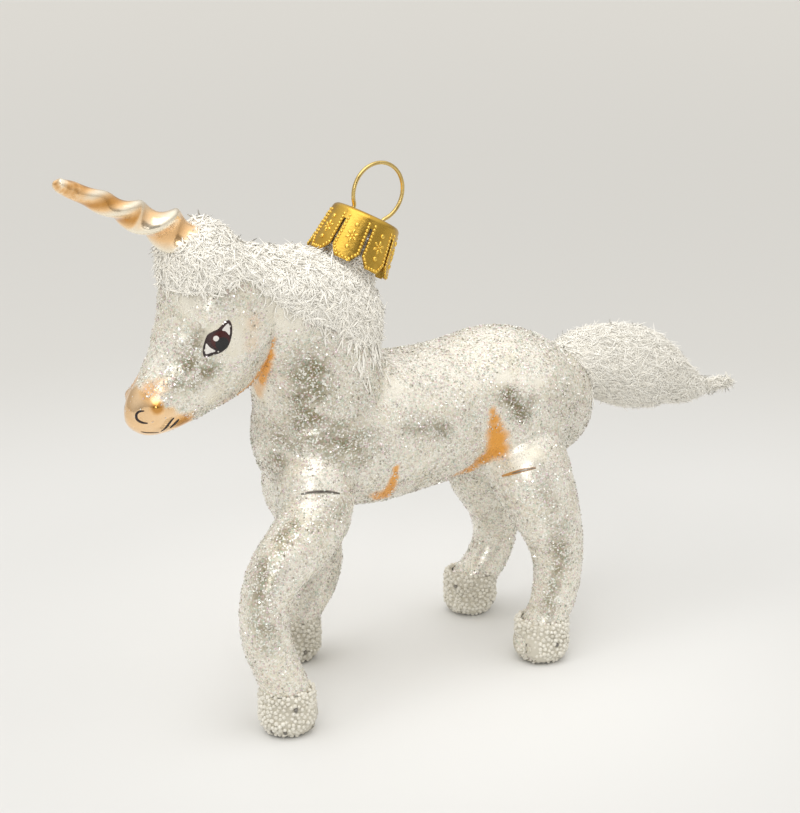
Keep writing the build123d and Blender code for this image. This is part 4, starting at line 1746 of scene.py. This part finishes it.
@dataclass
class PaintedFace(SubAssembly):
    """The brushed eyes, nostrils, mouth and seams, laid on the glass."""

    glass: GlassFigure
    eye: Point = (-49.2, -8.4, 72.2)
    eye_faces: Point = (-0.36, -0.932, 0.04)
    lid: Outline = (
        *((1.69, 3.26), (2.26, 2.5), (2.36, 1.5), (2.1, 0.1), (1.5, -1.2), (0.33, -2.15), (-1.0, -2.6)),
        *((-2.3, -2.95), (-2.72, -2.3), (-2.62, -1.0), (-1.98, 0.75), (-1.0, 1.45), (-0.2, 1.8), (0.8, 2.7)),
    )
    upper_white: Outline = ((1.62, 2.62), (0.52, 1.62), (1.16, 1.26), (1.72, 0.62), (1.9, 1.6))
    lower_white: Outline = ((-2.12, -0.62), (-2.3, -2.3), (-1.4, -2.16), (-0.66, -1.86), (-1.5, -1.2))
    patch_rings: int = 6
    stroke_steps: int = 26
    stroke_rounds: int = 4
    stroke_ends: Pair = (0.04, 0.96)
    stroke_tip: float = 0.35
    stroke_swell: float = 0.6
    nostril: tuple[Point, ...] = (
        *((-61.0, -3.2, 60.3), (-61.6, -2.5, 60.2), (-61.95, -2.05, 59.6)),
        *((-61.95, -2.2, 58.7), (-61.4, -2.9, 58.2), (-60.6, -3.6, 58.15)),
    )
    mouth: tuple[tuple[float, tuple[Point, ...]], ...] = (
        (0.44, ((-57.95, -3.4, 56.15), (-57.1, -4.5, 57.3), (-56.3, -5.15, 58.6))),
        (0.44, ((-56.5, -4.0, 56.7), (-55.9, -4.6, 57.4), (-55.35, -5.05, 58.25))),
        (0.26, ((-58.2, -3.1, 56.0), (-59.6, -2.8, 56.2), (-60.9, -1.9, 56.5))),
    )
    front_seam: tuple[Point, ...] = (
        *((-35.0, -11.4, 42.5), (-33.5, -12.8, 43.0)),
        *((-31.5, -13.8, 43.0), (-29.0, -14.2, 42.2)),
    )
    hind_seam: tuple[Point, ...] = (
        *((9.0, -11.0, 36.9), (9.6, -13.0, 37.8)),
        *((11.2, -14.6, 38.6), (12.9, -15.7, 39.0)),
    )

    def build(self) -> None:
        """Paint both sides."""
        paints = self.finishes
        patches = (
            ("lid", self.rounded(self.lid), paints.line, 0.05),
            ("upper_white", self.rounded(self.upper_white), paints.white, 0.08),
            ("lower_white", self.rounded(self.lower_white), paints.white, 0.08),
            ("iris", self.oval((0.28, -0.10), (1.52, 1.58), 32), paints.iris, 0.10),
            ("pupil", self.oval((0.46, -0.72), (1.1, 1.12), 28), paints.pupil, 0.12),
            ("glint", self.oval((-0.50, 0.26), (0.42, 0.46), 20), paints.white, 0.15),
        )
        strokes = [("nostril", self.nostril, paints.line, 0.44, 0.07)]
        for number, (width, line) in enumerate(self.mouth, 1):
            strokes.append((f"mouth_{number}", line, paints.line, width, 0.07))
        strokes += [
            ("front_seam", self.front_seam, paints.slit, 0.62, 0.06),
            ("front_seam_line", self.front_seam, paints.line, 0.14, 0.10),
            ("hind_seam", self.hind_seam, paints.rust, 0.62, 0.06),
            ("hind_seam_line", self.hind_seam[1:], paints.slit, 0.30, 0.10),
        ]
        for side in Side:
            word = side.name.lower()
            for title, outline, material, lift in patches:
                self.patch(f"{word}_eye_{title}", outline, side, material, lift * MM)
            for title, line, material, width, lift in strokes:
                if side is Side.LEFT or line is not self.front_seam:
                    self.stroke(f"{word}_{title}", line, side, material, width, lift)

    @staticmethod
    def oval(centre: Pair, radii: Pair, count: int) -> list[Pair]:
        """List points round an oval."""
        turns = [2 * math.pi * index / count for index in range(count)]
        return [(centre[0] + radii[0] * math.cos(t), centre[1] + radii[1] * math.sin(t)) for t in turns]

    @staticmethod
    def rounded(corners: Outline, steps: int = 6) -> list[Pair]:
        """Round a closed outline through its corners.

        Args:
            corners: The outline's corners in order.
            steps: How many points lie between two corners.

        Returns:
            The points of the rounded outline.
        """
        points = np.array(corners)
        made = []
        for index in range(len(points)):
            before, first, last, after = (points[(index + shift) % len(points)] for shift in (-1, 0, 1, 2))
            for step in range(steps):
                t = step / steps
                bend = 2 * first + (last - before) * t + (2 * before - 5 * first + 4 * last - after) * t * t
                bend = bend + (3 * first - before - 3 * last + after) * t**3
                made.append(tuple(bend / 2))
        return made

    def patch(self, name: str, outline: list[Pair], side: Side, material: Material, lift: float) -> None:
        """Lay a filled painted shape over the eye.

        Args:
            name: The piece's name.
            outline: Its outline, in millimetres along and up from the eye's middle.
            side: The side of the face.
            material: Its finish.
            lift: How far it stands off the glass.
        """
        up = Vector((0.0, 0.0, 1.0))
        along = up.cross(Vector(self.eye_faces)).normalized()
        along = along if along.x > 0 else -along
        edge = np.array(outline)
        middle = edge.mean(axis=0)
        points = []
        for ring in range(self.patch_rings + 1):
            for flat in middle + (edge - middle) * ring / self.patch_rings:
                point = side.mirror(Vector(self.eye) + along * flat[0] + up * flat[1])
                points.append(self.laid(Vector(point) * MM, lift))
        rows = strip_faces(self.patch_rings + 1, len(edge), True)
        rows = rows[:, ::-1] if side is Side.RIGHT else rows
        mesh = bulk_mesh(name, np.array(points), rows)
        self.face_out(mesh)
        show(name, mesh, material, FIGURE)

    def laid(self, point: Vector, lift: float) -> Point:
        """Move a point onto the glass, then off it by a lift."""
        place, normal, _, _ = self.glass.tree.find_nearest(point)
        return tuple(place + normal * lift)

    @staticmethod
    def face_out(mesh: Mesh) -> None:
        """Turn a patch's faces away from the middle of the figure.

        Args:
            mesh: The patch.
        """
        centre = vertex_points(mesh).mean(axis=0)
        normal = np.array(mesh.polygons[len(mesh.polygons) // 2].normal)
        if normal[1] * centre[1] < 0:
            mesh.flip_normals()

    def stroke(
        self, name: str, line: tuple[Point, ...], side: Side, material: Material, width: float, lift: float
    ) -> None:
        """Brush a tapered line on the glass.

        Args:
            name: The piece's name.
            line: The points that it passes, on the left side.
            side: The side of the figure.
            material: Its finish.
            width: Its width in millimetres at the middle.
            lift: How far it stands off the glass, in millimetres.
        """
        knots = side.mirror(line) * MM
        run = np.concatenate(([0.0], np.cumsum(np.linalg.norm(np.diff(knots, axis=0), axis=1))))
        ways = np.linspace(0, run[-1], self.stroke_steps)
        centre = np.stack([np.interp(ways, run, knots[:, axis]) for axis in range(3)], axis=1)
        for _ in range(self.stroke_rounds):
            centre[1:-1] = (centre[:-2] + 2 * centre[1:-1] + centre[2:]) / 4
        shares = np.clip(np.linspace(0, 1, self.stroke_steps), *self.stroke_ends)
        swell = np.sin(math.pi * shares) ** self.stroke_swell
        halves = width / 2 * MM * (self.stroke_tip + (1 - self.stroke_tip) * swell)
        points = []
        for spot, heading, half in zip(centre, np.gradient(centre, axis=0), halves):
            place, normal, _, _ = self.glass.tree.find_nearest(Vector(spot))
            across = Vector(heading).cross(normal).normalized()
            for shift, share in ((-1.0, 0.6), (0.0, 1.0), (1.0, 0.6)):
                points.append(self.laid(place + across * float(half) * shift, lift * MM * share))
        mesh = bulk_mesh(name, np.array(points), strip_faces(self.stroke_steps, 3, False))
        self.face_out(mesh)
        show(name, mesh, material, FIGURE)


@dataclass
class CrownCap(SubAssembly):
    """The stamped cap: its sheet, and the raised beads and flowers on its petals."""

    top_radius: float = 6.2
    hem_radius: float = 7.6
    height: float = 9.1
    seat: float = 0.42
    petals: int = 8
    slit: float = 0.5
    point: float = 1.8
    tip_gap: float = 3.0
    bead: float = 0.29
    border: float = 0.42
    lowest: float = 0.1
    tip_drop: float = 0.35
    tip_inset: float = 0.12
    tip_beads: int = 3
    sharp: float = math.radians(32.0)
    swell: float = 0.75
    swell_limit: float = 0.36
    bead_step: float = 0.62
    top_margin: float = 1.5
    flower: float = 4.7
    leaves: int = 6
    leaf_ring: float = 0.76
    leaf: Pair = (0.50, 0.26)
    dots: tuple[Pair, ...] = ((0.0, 0.26), (2.05, 0.46), (-2.05, 0.46))

    def build(self) -> None:
        """Make the sheet and its relief."""
        mesh = form_mesh("crown_cap_sheet", joined(self.nodes, ["crown_cap"]))
        mesh.shade_smooth()
        mesh.set_sharp_from_angle(angle=self.sharp)
        show("crown_cap_sheet", mesh, self.finishes.cap, "cap", "crown_cap")
        show("crown_cap_relief", self.relief(), self.finishes.emboss, "cap")

    def petal_marks(self) -> list[tuple[float, float, float, float, float]]:
        """List one petal's raised marks.

        Returns:
            For each mark how far across and at what level it lies, its two half sizes and its turn.
        """
        hem = self.seat - self.height
        foot = hem + self.point
        levels = np.arange(foot + self.lowest, self.seat - self.top_margin, self.bead_step)
        sides = [(self.half_width(level) - self.border, level) for level in levels]
        low = self.half_width(foot) - self.border
        tip = low - (self.tip_gap - self.slit) / 2 + self.tip_inset
        for share in (0.3, 0.65, 1.0):
            drop = share * (self.point - self.tip_drop)
            sides.append((low + share * (tip - low), foot + self.lowest - drop))
        beads = [(way * half, level) for half, level in sides for way in (-1, 1)]
        beads += [(shift, hem + self.border) for shift in np.linspace(-tip, tip, self.tip_beads + 2)[1:-1]]
        marks = [(across, level, self.bead, self.bead, 0.0) for across, level in beads]
        middle = self.seat - self.flower
        for number in range(self.leaves):
            turn = (number + 0.5) * 2 * math.pi / self.leaves
            across, rise = self.leaf_ring * math.cos(turn), self.leaf_ring * math.sin(turn)
            marks.append((across, middle + rise, *self.leaf, turn))
        return marks + [(0.0, middle + shift, size, size, 0.0) for shift, size in self.dots]

    def relief(self) -> Mesh:
        """Make the beaded borders, the flowers and the dots of every petal.

        Returns:
            A mesh of small flattened balls.
        """
        centres, sizes, axes = [], [], []
        marks = self.petal_marks()
        for petal in range(self.petals):
            for across, level, long, short, turn in marks:
                place, frame = self.on_sheet(petal * 2 * math.pi / self.petals, across, level, turn)
                centres.append(place)
                axes.append(frame)
                sizes.append((long * MM, short * MM, self.swell * min(short, self.swell_limit) * MM))
        tone, hue = np.ones(len(centres)), np.zeros(len(centres))
        return ball_mesh("crown_cap_relief", np.array(centres), np.array(sizes), np.array(axes), tone, hue)

    def sheet_radius(self, level: float) -> float:
        """Find the sheet's outer radius at a level along the pike's axis."""
        share = (self.seat - level) / self.height
        return self.top_radius + share * (self.hem_radius - self.top_radius)

    def half_width(self, level: float) -> float:
        """Find half of a petal's width at a level."""
        return self.sheet_radius(level) * math.tan(math.pi / self.petals) - self.slit / 2

    def on_sheet(self, petal: float, across: float, level: float, turn: float) -> tuple[Array, Array]:
        """Place a raised mark on a petal.

        Args:
            petal: The petal's direction round the cap.
            across: How far the mark lies from the petal's middle line, in millimetres.
            level: Its level along the axis, in millimetres.
            turn: How far its long side is turned from across.

        Returns:
            Its centre, and its three axes as rows.
        """
        along, side, out = (np.array(axis) for axis in skin_axes())
        radius = self.sheet_radius(level)
        angle = petal + math.atan2(across, radius)
        radial = math.cos(angle) * along + math.sin(angle) * side
        slope = math.atan2(self.hem_radius - self.top_radius, self.height)
        normal = math.cos(slope) * radial + math.sin(slope) * out
        tangent = -math.sin(angle) * along + math.cos(angle) * side
        upward = np.cross(normal, tangent)
        first = math.cos(turn) * tangent + math.sin(turn) * upward
        second = -math.sin(turn) * tangent + math.cos(turn) * upward
        centre = (np.array(RIM) + level * out + radius * radial) * MM
        return centre, np.stack([first, second, normal])


@dataclass
class WireHanger(SubAssembly):
    """The sprung wire: two legs through the cap and an open ring."""

    wire: float = 0.35
    ring: float = 5.25
    reach: float = 15.0
    half: float = 3.5
    bend: float = 0.9
    bend_level: float = 0.62

    def build(self) -> None:
        """Draw the wire along its own line and make it round."""
        line = bpy.data.curves.new("hanger_wire", "CURVE")
        line.dimensions = "3D"
        points = self.route()
        spline = line.splines.new("POLY")
        spline.points.add(len(points) - 1)
        along, _, out = skin_axes()
        for knot, (across, level) in zip(spline.points, points):
            knot.co = (*((Vector(RIM) + along * across + out * level) * MM), 1.0)
        line.bevel_depth = self.wire * MM
        line.bevel_resolution = 4
        line.use_fill_caps = True
        mesh = baked_mesh(link(bpy.data.objects.new("hanger_wire_line", line)))
        mesh.shade_smooth()
        show("hanger_wire", mesh, self.finishes.wire, "hanger", "hanger_clip")

    def route(self) -> list[Pair]:
        """List the wire's line, across and along the pike's axis.

        Returns:
            Points from the end of one leg, round the ring, to the end of the other.
        """
        centre = self.half + self.bend
        level = self.bend_level + math.sqrt((self.ring + self.bend) ** 2 - centre**2)
        turn = math.acos(centre / (self.ring + self.bend))
        right = [(self.half, -self.reach), (self.half, -self.reach / 2), (self.half, 0.0)]
        for share in np.linspace(0, 1, 8):
            angle = share * turn
            across = centre - self.bend * math.cos(angle)
            right.append((across, self.bend_level + self.bend * math.sin(angle)))
        for share in np.linspace(0, 1, 40)[1:]:
            angle = -turn + share * (turn + math.pi / 2)
            right.append((self.ring * math.cos(angle), level + self.ring * math.sin(angle)))
        return right + [(-across, up) for across, up in reversed(right[:-1])]


@dataclass
class Studio:
    """A pale floor, soft light and the camera."""

    finishes: Finishes
    target: Point = (-9.965, 0.0, 52.0)
    azimuth: float = math.radians(-35.0)
    elevation: float = math.radians(18.0)
    distance: float = 490.0
    across: float = 3.06
    down: float = 1.17
    lens: float = 120.42
    floor_radius: float = 4.0
    floor_drop: float = 0.05 * MM
    low_light: Point = (0.46, 0.44, 0.40)
    high_light: Point = (1.12, 1.10, 1.065)
    behind_camera: Point = (0.05, 0.042, 0.032)

    def build(self) -> None:
        """Set up the whole studio."""
        self.camera()
        self.floor()
        self.lamps()
        bpy.context.scene.view_settings.view_transform = "Standard"

    def camera(self) -> None:
        """Stand the camera where the photo was taken from."""
        away = Vector(
            (
                math.sin(self.azimuth) * math.cos(self.elevation),
                -math.cos(self.azimuth) * math.cos(self.elevation),
                math.sin(self.elevation),
            )
        )
        right = Vector((math.cos(self.azimuth), math.sin(self.azimuth), 0.0))
        up = away.cross(right)
        lens = bpy.data.cameras.new("photo_camera")
        lens.lens = self.lens
        lens.sensor_width = 36.0
        lens.clip_start = 0.01
        holder = link(bpy.data.objects.new("photo_camera", lens))
        place = Vector(self.target) + away * self.distance + right * self.across - up * self.down
        turn = Matrix((right, up, away)).transposed().to_4x4()
        holder.matrix_world = Matrix.Translation(place * MM) @ turn
        bpy.context.scene.camera = holder

    def floor(self) -> None:
        """Lay a wide floor that is white round the object and a soft grey further off."""
        form = bmesh.new()
        bmesh.ops.create_circle(form, cap_ends=True, segments=96, radius=self.floor_radius)
        mesh = form_mesh("floor", form)
        mesh.materials.append(self.finishes.paper)
        piece = link(bpy.data.objects.new("floor", mesh))
        piece.location.z = -self.floor_drop

    def lamps(self) -> None:
        """Hang soft lamps overhead and fill from the front, under an even pale room."""
        world = bpy.data.worlds.new("studio")
        world.use_nodes = True
        bench = NodeBench(world.node_tree)
        shade = bench.node("ShaderNodeBackground")
        target = bench.node("ShaderNodeOutputWorld")
        heading = bench.node("ShaderNodeTexCoord").outputs["Generated"]
        height = bench.node("ShaderNodeSeparateXYZ")
        bench.join(heading, height.inputs[0])
        colour = bench.blend(bench.step(height.outputs["Z"], 0.0, 0.9), self.low_light, self.high_light)
        behind = bench.node("ShaderNodeVectorMath", operation="DOT_PRODUCT")
        bench.join(heading, behind.inputs[0])
        behind.inputs[1].default_value = (math.sin(self.azimuth), -math.cos(self.azimuth), 0.0)
        colour = bench.blend(bench.step(behind.outputs["Value"], 0.62, 0.86), colour, self.behind_camera)
        bench.join(colour, shade.inputs["Color"])
        bench.join(shade.outputs[0], target.inputs["Surface"])
        bpy.context.scene.world = world
        self.lamp("overhead", (-0.18, -0.12, 0.72), 0.75, 2.6)
        self.lamp("front_fill", (-0.60, -0.62, 0.34), 0.30, 1.7)

    def lamp(self, name: str, place: Point, size: float, power: float) -> None:
        """Hang one square lamp that faces the object.

        Args:
            name: The lamp's name.
            place: Where it hangs, in metres.
            size: The length of its side, in metres.
            power: Its power in watts.
        """
        light = bpy.data.lights.new(name, "AREA")
        light.energy = power
        light.size = size
        holder = link(bpy.data.objects.new(name, light))
        holder.location = place
        aim = Vector(self.target) * MM - Vector(place)
        holder.rotation_euler = aim.to_track_quat("-Z", "Y").to_euler()


def main() -> None:
    """Build the ornament, piece by piece, in its studio."""
    logging.basicConfig(level=logging.INFO, format="%(name)s %(message)s")
    for thing in list(bpy.data.objects):
        bpy.data.objects.remove(thing)
    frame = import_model()
    nodes = frame["nodes"]
    finishes = Finishes()
    Studio(finishes).build()
    glass = GlassFigure(finishes, nodes)
    glass.build()
    Horn(finishes, nodes).build()
    FibreCoat(finishes, nodes, glass, "mane_fibre", 7000, 70, (0.3, 0.0, -0.9), 0.7, 2600).build()
    fine = (0.08 * MM, 0.17 * MM)
    FibreCoat(finishes, nodes, glass, "tail_fibre", 7600, 90, (0.9, 0.0, -0.35), 1.4, 500, fine).build()
    hooves = (
        ("front_left", (-39.836, -13.385)),
        ("front_right", (-21.111, 13.394)),
        ("hind_left", (16.760, -13.404)),
        ("hind_right", (19.808, 13.382)),
    )
    for index, (leg, centre) in enumerate(hooves):
        BeadedHoof(finishes, nodes, leg, centre, 110 + index).build()
    PaintedFace(finishes, nodes, glass).build()
    CrownCap(finishes, nodes).build()
    WireHanger(finishes, nodes).build()


if __name__ == "__main__":
    main()
